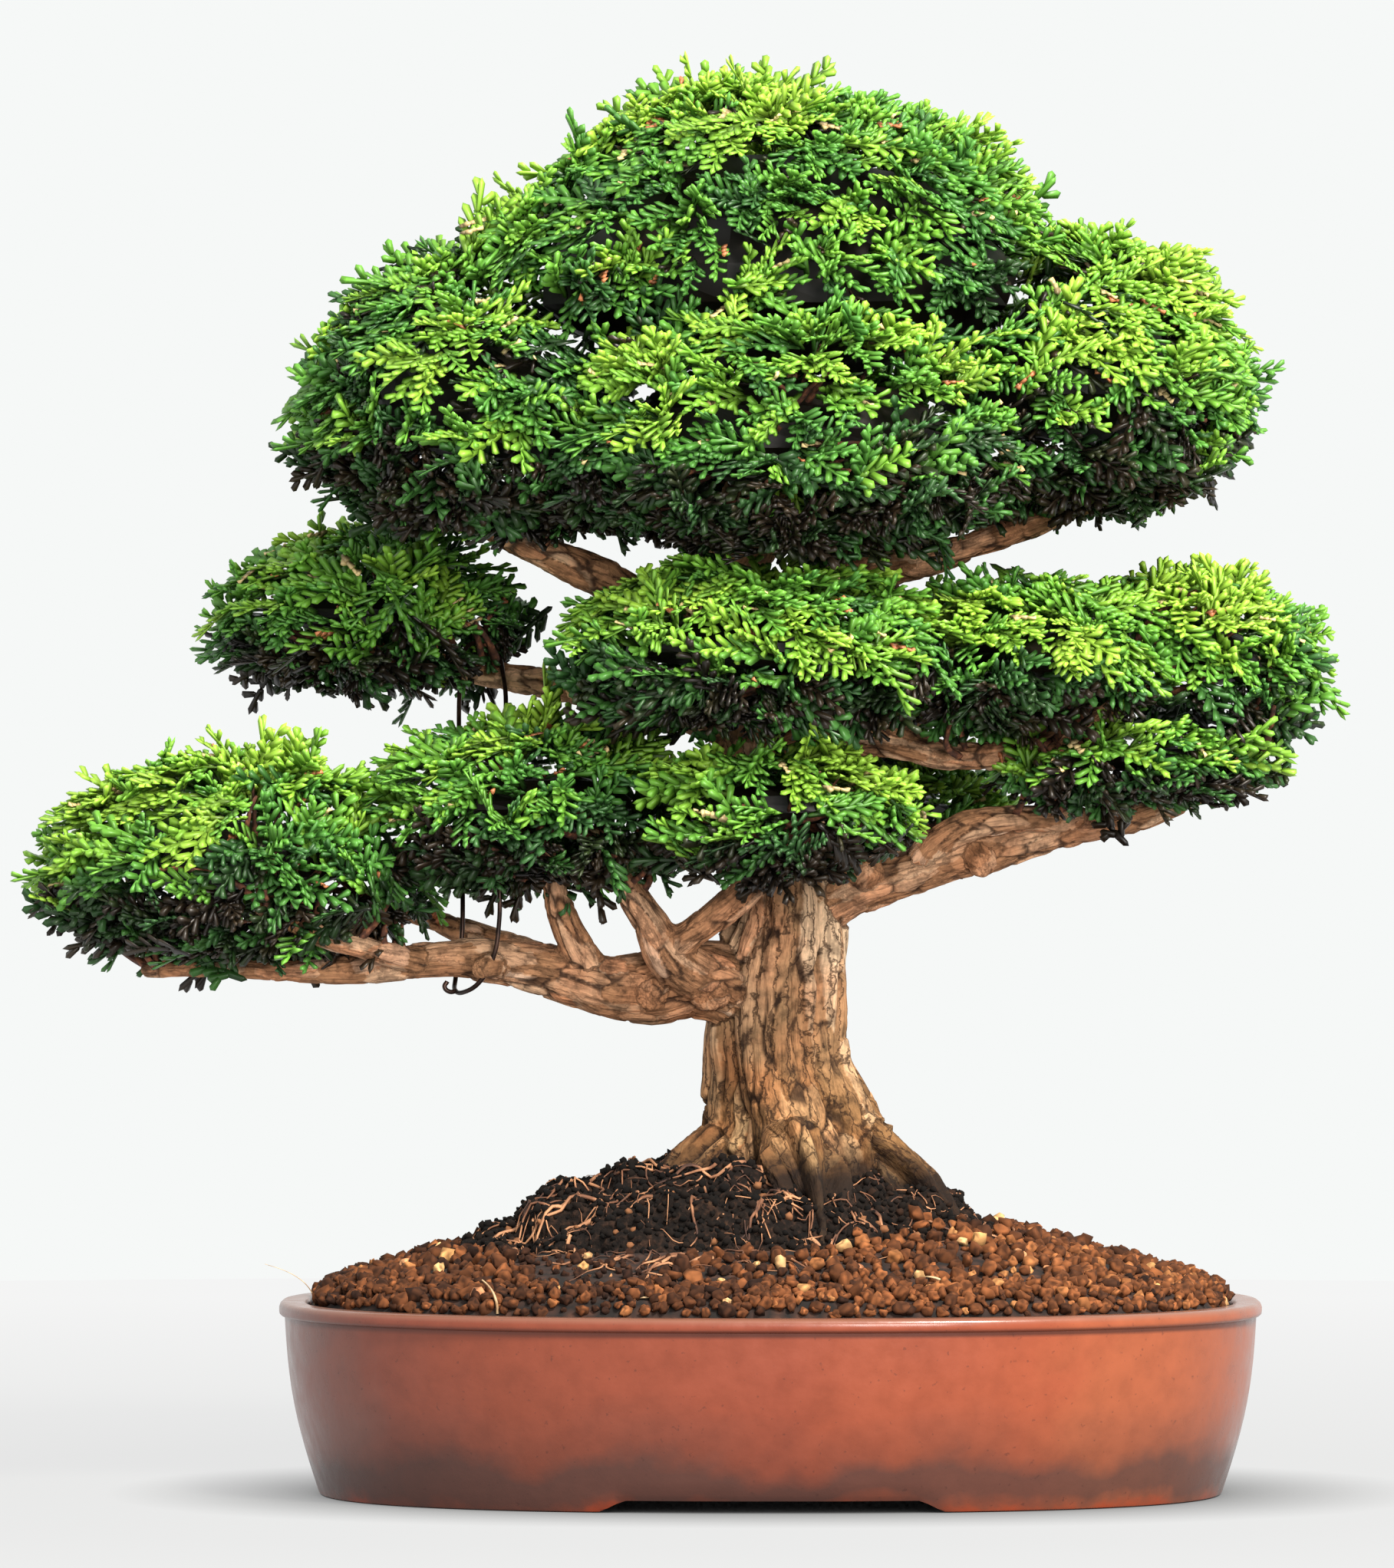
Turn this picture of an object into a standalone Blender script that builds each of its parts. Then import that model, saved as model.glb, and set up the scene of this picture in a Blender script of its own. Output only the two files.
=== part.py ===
"""A hinoki cypress bonsai in a shallow oval pot: pot, drainage, soil, wood, foliage pads and wires.

Metres, +Z up. The pot stands on the plane z = 0. Places below are measured from the pot's
centre, and the heights of the soil, the tree and the wires from its rim. At the end the empty
that carries everything moves, so that the origin is the middle of the whole object's outline,
on the surface that it stands on. -Y is the front.
"""

import math

import bpy
import bmesh
from mathutils import Vector, noise

# ---------------------------------------------------------------- driving dimensions
# Pot
RIM_HALF_X = 0.1445
RIM_HALF_Y = 0.112
POT_HEIGHT = 0.0565
OVAL_POWER = 2.4  # 2 is an ellipse, and more is squarer
BASE_INSET = 0.0115  # how far the foot stands in from the rim
WALL_BULGE = 0.0022
WALL = 0.0065
LIP_WIDTH = 0.0085
LIP_HEIGHT = 0.0042
LIP_OVERHANG = 0.0016
LIP_ROUNDING = 0.0011
FLOOR = 0.0065
FOOT_HEIGHT = 0.0042
FOOT_WIDTH = 0.0160
FOOT_EDGE = 0.0010
FOOT_GAP_HALF = 0.0500  # half the length cut out of the foot, front and back
FOOT_GAP_SLOPE = 0.0070
FOOT_GAP_HEIGHT = 0.0036

# Drainage
DRAIN_X = 0.066
DRAIN_RADIUS = 0.0100
DRAIN_MESH_HALF = 0.0165
DRAIN_MESH_THICK = 0.0012
CLIP_RADIUS = 0.0006
CLIP_HALF_SPAN = 0.0060
CLIP_FOOT = 0.0085  # length of each leg's bent end under the floor

# Tie wires, each a ring through two holes in the floor and through the root ball
TIE_RADIUS = 0.0006
TIE_HOLE_RADIUS = 0.0018
TIE_LEFT_X = -0.052
TIE_LEFT_HALF_Y = 0.050
TIE_LEFT_TOP = 0.0175
TIE_SHOULDER = 0.013  # where its upright legs turn inwards, from its top and from its sides
TIE_RIGHT_X = 0.062
TIE_RIGHT_HALF_Y = 0.045
TIE_RIGHT_TOP = 0.0095

# Soil and root ball
SOIL_EDGE_DROP = 0.0020  # how far the soil's edge lies under the rim
SOIL_EDGE_HEAP = 0.004  # how steeply it starts inside its edge
SOIL_RISE = 0.036  # from there to its middle
ROOT_BALL_X = -0.008
ROOT_BALL_HALF_X = 0.086
ROOT_BALL_HALF_Y = 0.066
ROOT_BALL_OFF_FLOOR = 0.0113
ROOT_BALL_TOP = 0.042

# Guy wire from the left middle branch to the low left branch
GUY_RADIUS = 0.0007

# Fits
SOLID_GAP = 0.0003  # between two pieces that touch
WIRE_GAP = 0.0004  # round a wire that passes through something
WOOD_GAP = 0.0005  # round wood that passes through soil or foliage
PAD_GAP = 0.0010  # between neighbouring foliage pads

# Foliage pads
PAD_LUMPS = 0.10  # height of the lumps, as a share of the radius
PAD_LUMP_RATE = 2.1
PAD_UNDERSIDE = 0.60  # depth below the pad's centre, as a share of its height above

# Mesh resolution
OVAL_SIDES = 40
ROOT_BALL_SIDES = 24
PAD_SIDES = 15
PAD_RINGS = 9
HOLE_SIDES = 20
CURVE_STEPS = 2

# ---------------------------------------------------------------- the tree's limbs
# Each point is x, y, height above the rim, and the limb's radius there.
LIMBS = {
    "trunk": (
        (0.0090, 0.004, 0.0055, 0.0350),
        (0.0090, 0.004, 0.0315, 0.0330),
        (0.0065, 0.003, 0.0505, 0.0262),
        (0.0030, 0.002, 0.0695, 0.0210),
        (0.0030, 0.001, 0.0945, 0.0200),
        (0.0055, 0.000, 0.1175, 0.0162),
        (0.0010, 0.002, 0.1405, 0.0135),
        (-0.0050, 0.004, 0.1635, 0.0112),
        (-0.0120, 0.004, 0.1935, 0.0095),
        (-0.0100, 0.002, 0.2235, 0.0075),
        (0.0000, 0.000, 0.2585, 0.0050),
        (0.0060, 0.000, 0.2915, 0.0030),
    ),
    "root_right": (
        (0.018, -0.004, 0.0475, 0.0140),
        (0.036, -0.008, 0.0355, 0.0105),
        (0.0485, -0.012, 0.0215, 0.0070),
    ),
    "root_left": (
        (-0.006, -0.004, 0.0455, 0.0130),
        (-0.022, -0.010, 0.0335, 0.0090),
        (-0.034, -0.018, 0.0205, 0.0055),
    ),
    "root_front": (
        (0.008, -0.014, 0.0435, 0.0140),
        (0.012, -0.033, 0.0295, 0.0090),
        (0.014, -0.046, 0.0135, 0.0050),
    ),
    "root_back": (
        (0.010, 0.018, 0.0435, 0.0140),
        (0.018, 0.038, 0.0295, 0.0090),
        (0.024, 0.052, 0.0115, 0.0050),
    ),
    "low_left": (
        (0.000, -0.002, 0.0875, 0.0130),
        (-0.020, -0.006, 0.0945, 0.0118),
        (-0.041, -0.010, 0.0920, 0.0100),
        (-0.062, -0.014, 0.0965, 0.0078),
        (-0.082, -0.016, 0.1005, 0.0062),
        (-0.106, -0.018, 0.1000, 0.0050),
        (-0.130, -0.018, 0.0975, 0.0042),
        (-0.160, -0.016, 0.0980, 0.0030),
        (-0.184, -0.012, 0.0975, 0.0018),
    ),
    "low_left_front": (
        (-0.100, -0.018, 0.1000, 0.0040),
        (-0.126, -0.036, 0.1065, 0.0032),
        (-0.150, -0.046, 0.1155, 0.0020),
    ),
    "low_left_back": (
        (-0.056, -0.012, 0.0965, 0.0055),
        (-0.088, 0.012, 0.1075, 0.0038),
        (-0.124, 0.024, 0.1185, 0.0022),
    ),
    "low_left_riser": (
        (-0.050, -0.011, 0.0935, 0.0065),
        (-0.060, -0.021, 0.1105, 0.0045),
        (-0.066, -0.026, 0.1335, 0.0028),
    ),
    "fork_left": (
        (-0.014, -0.010, 0.0925, 0.0085),
        (-0.028, -0.021, 0.1005, 0.0070),
        (-0.036, -0.026, 0.1125, 0.0052),
        (-0.046, -0.030, 0.1295, 0.0040),
        (-0.050, -0.034, 0.1435, 0.0026),
    ),
    "fork_right": (
        (-0.030, -0.022, 0.1035, 0.0052),
        (-0.016, -0.030, 0.1135, 0.0048),
        (-0.004, -0.038, 0.1255, 0.0040),
        (0.004, -0.048, 0.1405, 0.0028),
    ),
    "low_right": (
        (0.004, 0.000, 0.1095, 0.0120),
        (0.022, -0.004, 0.1200, 0.0085),
        (0.042, -0.008, 0.1265, 0.0072),
        (0.061, -0.010, 0.1315, 0.0062),
        (0.084, -0.011, 0.1375, 0.0052),
        (0.106, -0.011, 0.1420, 0.0044),
        (0.126, -0.008, 0.1495, 0.0034),
        (0.144, -0.004, 0.1565, 0.0022),
    ),
    "low_right_upper": (
        (0.042, -0.009, 0.1265, 0.0050),
        (0.052, -0.015, 0.1375, 0.0046),
        (0.068, -0.018, 0.1420, 0.0042),
        (0.092, -0.013, 0.1415, 0.0036),
    ),
    "mid_right": (
        (-0.004, 0.002, 0.1575, 0.0085),
        (0.012, -0.008, 0.1650, 0.0065),
        (0.033, -0.014, 0.1650, 0.0052),
        (0.058, -0.020, 0.1600, 0.0042),
        (0.078, -0.022, 0.1635, 0.0034),
        (0.112, -0.016, 0.1815, 0.0020),
    ),
    "mid_front": (
        (-0.006, 0.002, 0.1695, 0.0065),
        (-0.004, -0.018, 0.1745, 0.0050),
        (0.004, -0.036, 0.1795, 0.0038),
        (0.008, -0.054, 0.1855, 0.0024),
    ),
    "mid_left": (
        (-0.006, 0.004, 0.1675, 0.0080),
        (-0.030, 0.016, 0.1745, 0.0060),
        (-0.060, 0.030, 0.1805, 0.0050),
        (-0.090, 0.040, 0.1855, 0.0038),
        (-0.124, 0.045, 0.1935, 0.0024),
    ),
    "crown_left": (
        (-0.011, 0.004, 0.1875, 0.0080),
        (-0.030, 0.002, 0.2015, 0.0065),
        (-0.050, -0.002, 0.2125, 0.0058),
        (-0.076, -0.006, 0.2245, 0.0046),
        (-0.104, -0.008, 0.2395, 0.0028),
    ),
    "crown_right": (
        (-0.011, 0.002, 0.1975, 0.0075),
        (0.014, 0.004, 0.2095, 0.0060),
        (0.056, 0.002, 0.2210, 0.0048),
        (0.086, 0.000, 0.2315, 0.0036),
        (0.118, -0.002, 0.2435, 0.0022),
    ),
    "crown_front": (
        (-0.010, 0.002, 0.2135, 0.0065),
        (0.000, -0.024, 0.2275, 0.0048),
        (0.006, -0.052, 0.2395, 0.0034),
        (0.008, -0.078, 0.2495, 0.0020),
    ),
    "crown_back": (
        (-0.010, 0.002, 0.2175, 0.0065),
        (-0.006, 0.028, 0.2295, 0.0048),
        (-0.002, 0.054, 0.2415, 0.0034),
        (0.000, 0.080, 0.2515, 0.0020),
    ),
    "low_back": (
        (0.004, 0.002, 0.1175, 0.0090),
        (0.012, 0.026, 0.1255, 0.0062),
        (0.018, 0.050, 0.1295, 0.0050),
        (0.022, 0.080, 0.1355, 0.0030),
    ),
    "mid_back": (
        (-0.003, 0.003, 0.1535, 0.0075),
        (0.020, 0.026, 0.1635, 0.0050),
        (0.044, 0.052, 0.1715, 0.0038),
        (0.060, 0.078, 0.1815, 0.0024),
    ),
}

# ---------------------------------------------------------------- the foliage pads
# Each is a centre, with its height above the rim, and half sizes along X and Y and upwards. An
# earlier pad keeps its full shape, and a later one gives way to it.
PADS = {
    "foliage_crown_top": ((0.001, 0.000, 0.2915), (0.091, 0.084, 0.066)),
    "foliage_crown_shoulder": ((-0.062, -0.010, 0.2955), (0.032, 0.044, 0.034)),
    "foliage_crown_left": ((-0.080, -0.004, 0.2575), (0.060, 0.078, 0.052)),
    "foliage_crown_right": ((0.084, 0.004, 0.2635), (0.060, 0.078, 0.052)),
    "foliage_crown_front": ((0.006, -0.062, 0.2475), (0.070, 0.053, 0.048)),
    "foliage_crown_back": ((0.002, 0.066, 0.2515), (0.070, 0.050, 0.046)),
    "foliage_left_middle": ((-0.120, 0.045, 0.1975), (0.047, 0.042, 0.030)),
    "foliage_left_low_outer": ((-0.157, -0.014, 0.1235), (0.060, 0.050, 0.039)),
    "foliage_left_low_inner": ((-0.069, -0.026, 0.1415), (0.050, 0.047, 0.031)),
    "foliage_front_low": ((0.000, -0.056, 0.1415), (0.042, 0.029, 0.026)),
    "foliage_front_middle": ((-0.004, -0.056, 0.1875), (0.060, 0.046, 0.033)),
    "foliage_right_middle": ((0.080, -0.020, 0.1835), (0.046, 0.056, 0.030)),
    "foliage_right_tip": ((0.126, -0.002, 0.1825), (0.038, 0.048, 0.034)),
    "foliage_right_low": ((0.106, -0.018, 0.1585), (0.042, 0.044, 0.020)),
    "foliage_back_low": ((0.020, 0.084, 0.1395), (0.056, 0.040, 0.024)),
    "foliage_back_middle": ((0.062, 0.082, 0.1855), (0.050, 0.040, 0.022)),
}

# The guy wire's ring: round the low branch and over the middle one, heights above the rim
GUY_ROUTE = (
    (-0.0793, -0.0250, 0.1235),
    (-0.0795, -0.0256, 0.1115),
    (-0.0812, -0.0256, 0.1015),
    (-0.0850, -0.0244, 0.0945),
    (-0.0895, -0.0200, 0.0913),
    (-0.0925, -0.0140, 0.0915),
    (-0.0925, -0.0088, 0.0950),
    (-0.0910, -0.0076, 0.1035),
    (-0.0905, -0.0030, 0.1215),
    (-0.0915, 0.0140, 0.1535),
    (-0.0920, 0.0310, 0.1795),
    (-0.0910, 0.0365, 0.1905),
    (-0.0870, 0.0395, 0.1935),
    (-0.0820, 0.0375, 0.1915),
    (-0.0790, 0.0300, 0.1835),
    (-0.0785, 0.0100, 0.1635),
    (-0.0790, -0.0120, 0.1435),
)


# ---------------------------------------------------------------- helpers
def finish(name, source, colour, roughness, metallic=0.0):
    """Gives an object its name, its own material and smooth shading."""
    source.name = name
    material = bpy.data.materials.new(name)
    material.use_nodes = True
    surface = material.node_tree.nodes["Principled BSDF"]
    surface.inputs["Base Color"].default_value = (*colour, 1.0)
    surface.inputs["Roughness"].default_value = roughness
    surface.inputs["Metallic"].default_value = metallic
    source.data.materials.clear()
    source.data.materials.append(material)
    if source.type == "MESH":
        source.data.shade_smooth()
        source.data.set_sharp_from_angle(angle=math.radians(35))
    return source


def object_from(name, data, helper=False):
    """An object in the scene, under the stand. A helper is a cutter or a guide."""
    made = bpy.data.objects.new(name, data)
    bpy.context.scene.collection.objects.link(made)
    made.parent = stand
    if helper:
        made.hide_render = True
        made.display_type = "WIRE"
    return made


def mesh_object(name, shape, helper=False):
    """Turns a bmesh into an object, in triangles that point out, so that a grown copy bends alike."""
    bmesh.ops.recalc_face_normals(shape, faces=shape.faces)
    bmesh.ops.triangulate(shape, faces=shape.faces, quad_method="FIXED")
    data = bpy.data.meshes.new(name)
    shape.to_mesh(data)
    shape.free()
    return object_from(name, data, helper)


def oval_point(half_x, half_y, turn):
    """A point of the oval with these half sizes, at this angle."""
    c, s = math.cos(turn), math.sin(turn)
    x = math.copysign(abs(c) ** (2 / OVAL_POWER), c) * half_x
    y = math.copysign(abs(s) ** (2 / OVAL_POWER), s) * half_y
    return Vector((x, y, 0))


def ringed(name, levels, middle=(0, 0), sides=OVAL_SIDES, helper=False):
    """A closed shape of stacked ovals. A level is half x, half y and z."""
    shape = bmesh.new()
    rings = []
    for half_x, half_y, z in levels:
        ring = []
        for side in range(sides):
            point = oval_point(half_x, half_y, 2 * math.pi * side / sides)
            ring.append(shape.verts.new(point + Vector((*middle, z))))
        rings.append(ring)
    for lower, upper in zip(rings, rings[1:]):
        for side in range(sides):
            after = (side + 1) % sides
            shape.faces.new((lower[side], lower[after], upper[after], upper[side]))
    for ring in (rings[0], rings[-1]):
        shape.faces.new(ring)
    return mesh_object(name, shape, helper)


def pot_level(inset, z):
    return (RIM_HALF_X - inset, RIM_HALF_Y - inset, z)


def box(name, low, high, helper=False):
    """A box from its low corner to its high corner."""
    shape = bmesh.new()
    bmesh.ops.create_cube(shape, size=1.0)
    for vertex in shape.verts:
        for axis in range(3):
            vertex.co[axis] = high[axis] if vertex.co[axis] > 0 else low[axis]
    return mesh_object(name, shape, helper)


def peg(name, x, y, radius, low, high):
    """An upright round cutter."""
    shape = bmesh.new()
    bmesh.ops.create_cone(
        shape, cap_ends=True, segments=HOLE_SIDES, radius1=radius, radius2=radius, depth=high - low
    )
    bmesh.ops.translate(shape, vec=(x, y, (low + high) / 2), verts=shape.verts)
    return mesh_object(name, shape, helper=True)


def above_rim(points):
    """Points of x, y, height above the rim and anything more, with the height made a z."""
    return [(x, y, POT_HEIGHT + height, *more) for x, y, height, *more in points]


def lengthened(points, extra):
    """The same route, this much longer at each end."""
    route = [Vector(point[:3]) for point in points]
    first = route[0] + (route[0] - route[1]).normalized() * extra
    last = route[-1] + (route[-1] - route[-2]).normalized() * extra
    return ((*first, points[0][3]), *points[1:-1], (*last, points[-1][3]))


def tube(name, points, grow=0.0, ring=False, kind="BEZIER", helper=False):
    """A round tube through points of x, y, z and radius, as a mesh with its ends closed."""
    if grow and not ring:
        points = lengthened(points, 2 * grow)
    curve = bpy.data.curves.new(name, "CURVE")
    curve.dimensions = "3D"
    curve.bevel_depth = 1.0
    curve.bevel_resolution = 2
    curve.use_fill_caps = not ring
    curve.resolution_u = CURVE_STEPS
    spline = curve.splines.new(kind)
    spline.use_cyclic_u = ring
    knots = spline.bezier_points if kind == "BEZIER" else spline.points
    knots.add(len(points) - 1)
    for knot, (x, y, z, radius) in zip(knots, points):
        knot.co = (x, y, z) if kind == "BEZIER" else (x, y, z, 1.0)
        knot.radius = radius + grow
        if kind == "BEZIER":
            knot.handle_left_type = "AUTO"
            knot.handle_right_type = "AUTO"
    guide = object_from(name + "_path", curve, helper=True)
    bpy.context.view_layer.update()
    shape = bmesh.new()
    shape.from_mesh(guide.to_mesh())
    guide.to_mesh_clear()
    bpy.data.objects.remove(guide)
    bmesh.ops.remove_doubles(shape, verts=shape.verts, dist=1e-6)
    return mesh_object(name, shape, helper)


def lump(name, centre, halves, grow=0.0, helper=False):
    """A pad of foliage: a lumpy dome with a flatter underside."""
    shape = bmesh.new()
    bmesh.ops.create_uvsphere(shape, u_segments=PAD_SIDES, v_segments=PAD_RINGS, radius=1.0)
    for vertex in shape.verts:
        way = vertex.co.normalized()
        height = noise.noise(way * PAD_LUMP_RATE + Vector(halves) * 1000)
        way *= 1 + PAD_LUMPS * height
        if way.z < 0:
            way.z *= PAD_UNDERSIDE
        sizes = [half + grow for half in halves]
        vertex.co = Vector(centre) + Vector((way.x * sizes[0], way.y * sizes[1], way.z * sizes[2]))
    return mesh_object(name, shape, helper)


def combine(target, others, operation):
    """One Boolean of the target with several helpers."""
    if not others:
        return
    group = bpy.data.collections.new(target.name + "_" + operation.lower())
    for other in others:
        group.objects.link(other)
    modifier = target.modifiers.new(operation.title(), "BOOLEAN")
    modifier.operation = operation
    modifier.operand_type = "COLLECTION"
    modifier.collection = group
    modifier.solver = "EXACT"


def corners(thing):
    points = [vertex.co for vertex in thing.data.vertices]
    low = [min(point[axis] for point in points) for axis in range(3)]
    high = [max(point[axis] for point in points) for axis in range(3)]
    return low, high


def near(thing, others):
    """The others whose bounding boxes meet the thing's."""
    low, high = corners(thing)
    found = []
    for other in others:
        other_low, other_high = corners(other)
        if all(low[a] < other_high[a] and other_low[a] < high[a] for a in range(3)):
            found.append(other)
    return found


# ---------------------------------------------------------------- pieces
def make_pot():
    """The fired pot: wall, rolled lip, floor, foot cut away front and back, and its holes."""
    lip_bottom = POT_HEIGHT - LIP_HEIGHT
    levels = [
        pot_level(BASE_INSET + FOOT_WIDTH + FOOT_EDGE, FOOT_HEIGHT),
        pot_level(BASE_INSET + FOOT_WIDTH, 0),
        pot_level(BASE_INSET + FOOT_EDGE, 0),
    ]
    wall_steps = 5
    for step in range(wall_steps + 1):
        share = step / wall_steps
        inset = BASE_INSET * (1 - share) + LIP_OVERHANG * share
        inset -= WALL_BULGE * math.sin(math.pi * share)
        levels.append(pot_level(inset, FOOT_EDGE + (lip_bottom - FOOT_EDGE) * share))
    levels += [
        pot_level(0, lip_bottom + LIP_ROUNDING),
        pot_level(0, POT_HEIGHT - LIP_ROUNDING),
        pot_level(LIP_ROUNDING, POT_HEIGHT),
        pot_level(LIP_WIDTH - LIP_ROUNDING, POT_HEIGHT),
        pot_level(LIP_WIDTH, POT_HEIGHT - LIP_ROUNDING),
        pot_level(BASE_INSET + WALL, FOOT_HEIGHT + FLOOR),
    ]
    pot = ringed("pot", levels)
    cutters = [
        peg("drain_left_hole", -DRAIN_X, 0, DRAIN_RADIUS, -FLOOR, POT_HEIGHT),
        peg("drain_right_hole", DRAIN_X, 0, DRAIN_RADIUS, -FLOOR, POT_HEIGHT),
    ]
    for x, half_y in ((TIE_LEFT_X, TIE_LEFT_HALF_Y), (TIE_RIGHT_X, TIE_RIGHT_HALF_Y)):
        for y in (-half_y, half_y):
            cutters.append(peg("tie_hole", x, y, TIE_HOLE_RADIUS, -FLOOR, POT_HEIGHT))
    gap = bmesh.new()
    outline = (
        (-FOOT_GAP_HALF, -FOOT_GAP_HEIGHT),
        (FOOT_GAP_HALF, -FOOT_GAP_HEIGHT),
        (FOOT_GAP_HALF, 0),
        (FOOT_GAP_HALF - FOOT_GAP_SLOPE, FOOT_GAP_HEIGHT),
        (FOOT_GAP_SLOPE - FOOT_GAP_HALF, FOOT_GAP_HEIGHT),
        (-FOOT_GAP_HALF, 0),
    )
    front = gap.faces.new([gap.verts.new((x, -RIM_HALF_Y, z)) for x, z in outline])
    pushed = bmesh.ops.extrude_face_region(gap, geom=[front])
    far = [item for item in pushed["geom"] if isinstance(item, bmesh.types.BMVert)]
    bmesh.ops.translate(gap, vec=(0, 2 * RIM_HALF_Y, 0), verts=far)
    cutters.append(mesh_object("foot_gap", gap, helper=True))
    combine(pot, cutters, "DIFFERENCE")
    return finish("pot", pot, (0.36, 0.11, 0.065), 0.32)


def make_clip(side, grow=0.0, helper=False):
    """A bent wire that holds a drainage mesh down: over it, through the hole and out under the floor."""
    x = side * DRAIN_X
    top = FOOT_HEIGHT + FLOOR + 2 * SOLID_GAP + DRAIN_MESH_THICK + CLIP_RADIUS
    low = FOOT_HEIGHT - SOLID_GAP - CLIP_RADIUS
    reach = CLIP_HALF_SPAN + CLIP_FOOT
    bend = 2.5 * CLIP_RADIUS
    half = [
        (0, top),
        (CLIP_HALF_SPAN - bend, top),
        (CLIP_HALF_SPAN, top - bend),
        (CLIP_HALF_SPAN, low + bend),
        (CLIP_HALF_SPAN + bend, low),
        (reach, low),
    ]
    path = [(-y, z) for y, z in reversed(half[1:])] + half
    points = [(x, y, z, CLIP_RADIUS) for y, z in path]
    name = "mesh_clip_left" if side < 0 else "mesh_clip_right"
    return tube(name + ("_room" if helper else ""), points, grow, kind="POLY", helper=helper)


def make_drain_mesh(side, clip_room):
    """A square of plastic mesh over a drainage hole."""
    name = "drain_mesh_left" if side < 0 else "drain_mesh_right"
    low = FOOT_HEIGHT + FLOOR + SOLID_GAP
    plate = box(
        name,
        (side * DRAIN_X - DRAIN_MESH_HALF, -DRAIN_MESH_HALF, low),
        (side * DRAIN_X + DRAIN_MESH_HALF, DRAIN_MESH_HALF, low + DRAIN_MESH_THICK),
    )
    combine(plate, [clip_room], "DIFFERENCE")
    return finish(name, plate, (0.02, 0.02, 0.02), 0.6)


def mesh_room(side):
    """The space that a drainage mesh takes under the soil."""
    low = FOOT_HEIGHT + FLOOR
    half = DRAIN_MESH_HALF + SOLID_GAP
    top = low + DRAIN_MESH_THICK + 2 * SOLID_GAP
    start = (side * DRAIN_X - half, -half, low - SOLID_GAP)
    return box("drain_mesh_room", start, (side * DRAIN_X + half, half, top), helper=True)


def make_tie(name, x, half_y, top, grow=0.0, helper=False):
    """A wire ring: under the floor, up through two holes and through the root ball."""
    low = FOOT_HEIGHT - SOLID_GAP - TIE_RADIUS
    shoulder = top - TIE_SHOULDER
    low_bend = 3 * TIE_RADIUS
    path = (
        (-half_y, low + low_bend),
        (-half_y, shoulder),
        (TIE_SHOULDER - half_y, top),
        (half_y - TIE_SHOULDER, top),
        (half_y, shoulder),
        (half_y, low + low_bend),
        (half_y - low_bend, low),
        (-half_y + low_bend, low),
    )
    points = [(x, y, z, TIE_RADIUS) for y, z in path]
    return tube(name, points, grow, ring=True, kind="POLY", helper=helper)


def make_guy(grow=0.0, helper=False):
    points = [(*point, GUY_RADIUS) for point in above_rim(GUY_ROUTE)]
    return tube("guy_wire_room" if helper else "guy_wire", points, grow, ring=True, helper=helper)


def make_wood():
    """Trunk, branches and root flare, grown as one piece."""
    limbs = list(LIMBS)
    trunk = tube("trunk_and_branches", above_rim(LIMBS[limbs[0]]))
    others = [tube(name, above_rim(LIMBS[name]), helper=True) for name in limbs[1:]]
    combine(trunk, others, "UNION")
    return finish("trunk_and_branches", trunk, (0.36, 0.21, 0.12), 0.85)


def root_ball_levels(grow=0.0):
    """The old root ball: widest near the soil's surface, and rounded at its top and bottom."""
    bottom = FOOT_HEIGHT + FLOOR + ROOT_BALL_OFF_FLOOR
    tall = POT_HEIGHT + ROOT_BALL_TOP - bottom
    profile = ((0.62, 0), (0.86, 0.22), (0.98, 0.5), (0.95, 0.68), (0.74, 0.85), (0.46, 0.96), (0.26, 1))
    levels = []
    for share, height in profile:
        rise = grow * (2 * height - 1)
        z = bottom + tall * height + rise
        levels.append((ROOT_BALL_HALF_X * share + grow, ROOT_BALL_HALF_Y * share + grow, z))
    return levels


def soil_levels():
    """The soil: it fills the pot, and rises from its edge to the middle."""
    floor_top = FOOT_HEIGHT + FLOOR + SOLID_GAP
    edge = POT_HEIGHT - SOIL_EDGE_DROP
    throat = LIP_WIDTH + SOLID_GAP
    levels = [pot_level(BASE_INSET + WALL + SOLID_GAP, floor_top), pot_level(throat, edge)]
    top_x, top_y = RIM_HALF_X - throat, RIM_HALF_Y - throat
    for share in (0.96, 0.80, 0.62, 0.42, 0.22):
        rise = SOIL_RISE * (1 - share) ** 0.92
        levels.append((top_x * share, top_y * share, edge + SOIL_EDGE_HEAP + rise))
    return levels


def make_soil(wood_room, wire_rooms, mesh_rooms):
    """The grit, and the old root ball in it."""
    ball = ringed("root_ball", root_ball_levels(), (ROOT_BALL_X, 0), ROOT_BALL_SIDES)
    combine(ball, near(ball, wood_room + wire_rooms), "DIFFERENCE")
    finish("root_ball", ball, (0.03, 0.018, 0.012), 0.95)
    grit = ringed("soil_grit", soil_levels())
    levels = root_ball_levels(SOLID_GAP)
    ball_room = ringed("root_ball_room", levels, (ROOT_BALL_X, 0), ROOT_BALL_SIDES, helper=True)
    room = [ball_room] + near(grit, wood_room + wire_rooms + mesh_rooms)
    combine(grit, room, "DIFFERENCE")
    return ball, finish("soil_grit", grit, (0.17, 0.065, 0.035), 0.95)


def make_pads(wood_room, guy_room):
    """Every foliage pad, cut clear of the wood, the guy wire and the pads before it."""
    pads, rooms = [], []
    for name, (place, halves) in PADS.items():
        centre = above_rim([place])[0]
        pad = lump(name, centre, halves)
        combine(pad, near(pad, wood_room + [guy_room] + rooms), "DIFFERENCE")
        finish(name, pad, (0.07, 0.22, 0.06), 0.7)
        rooms.append(lump(name + "_room", centre, halves, PAD_GAP, helper=True))
        pads.append(pad)
    return pads


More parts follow.
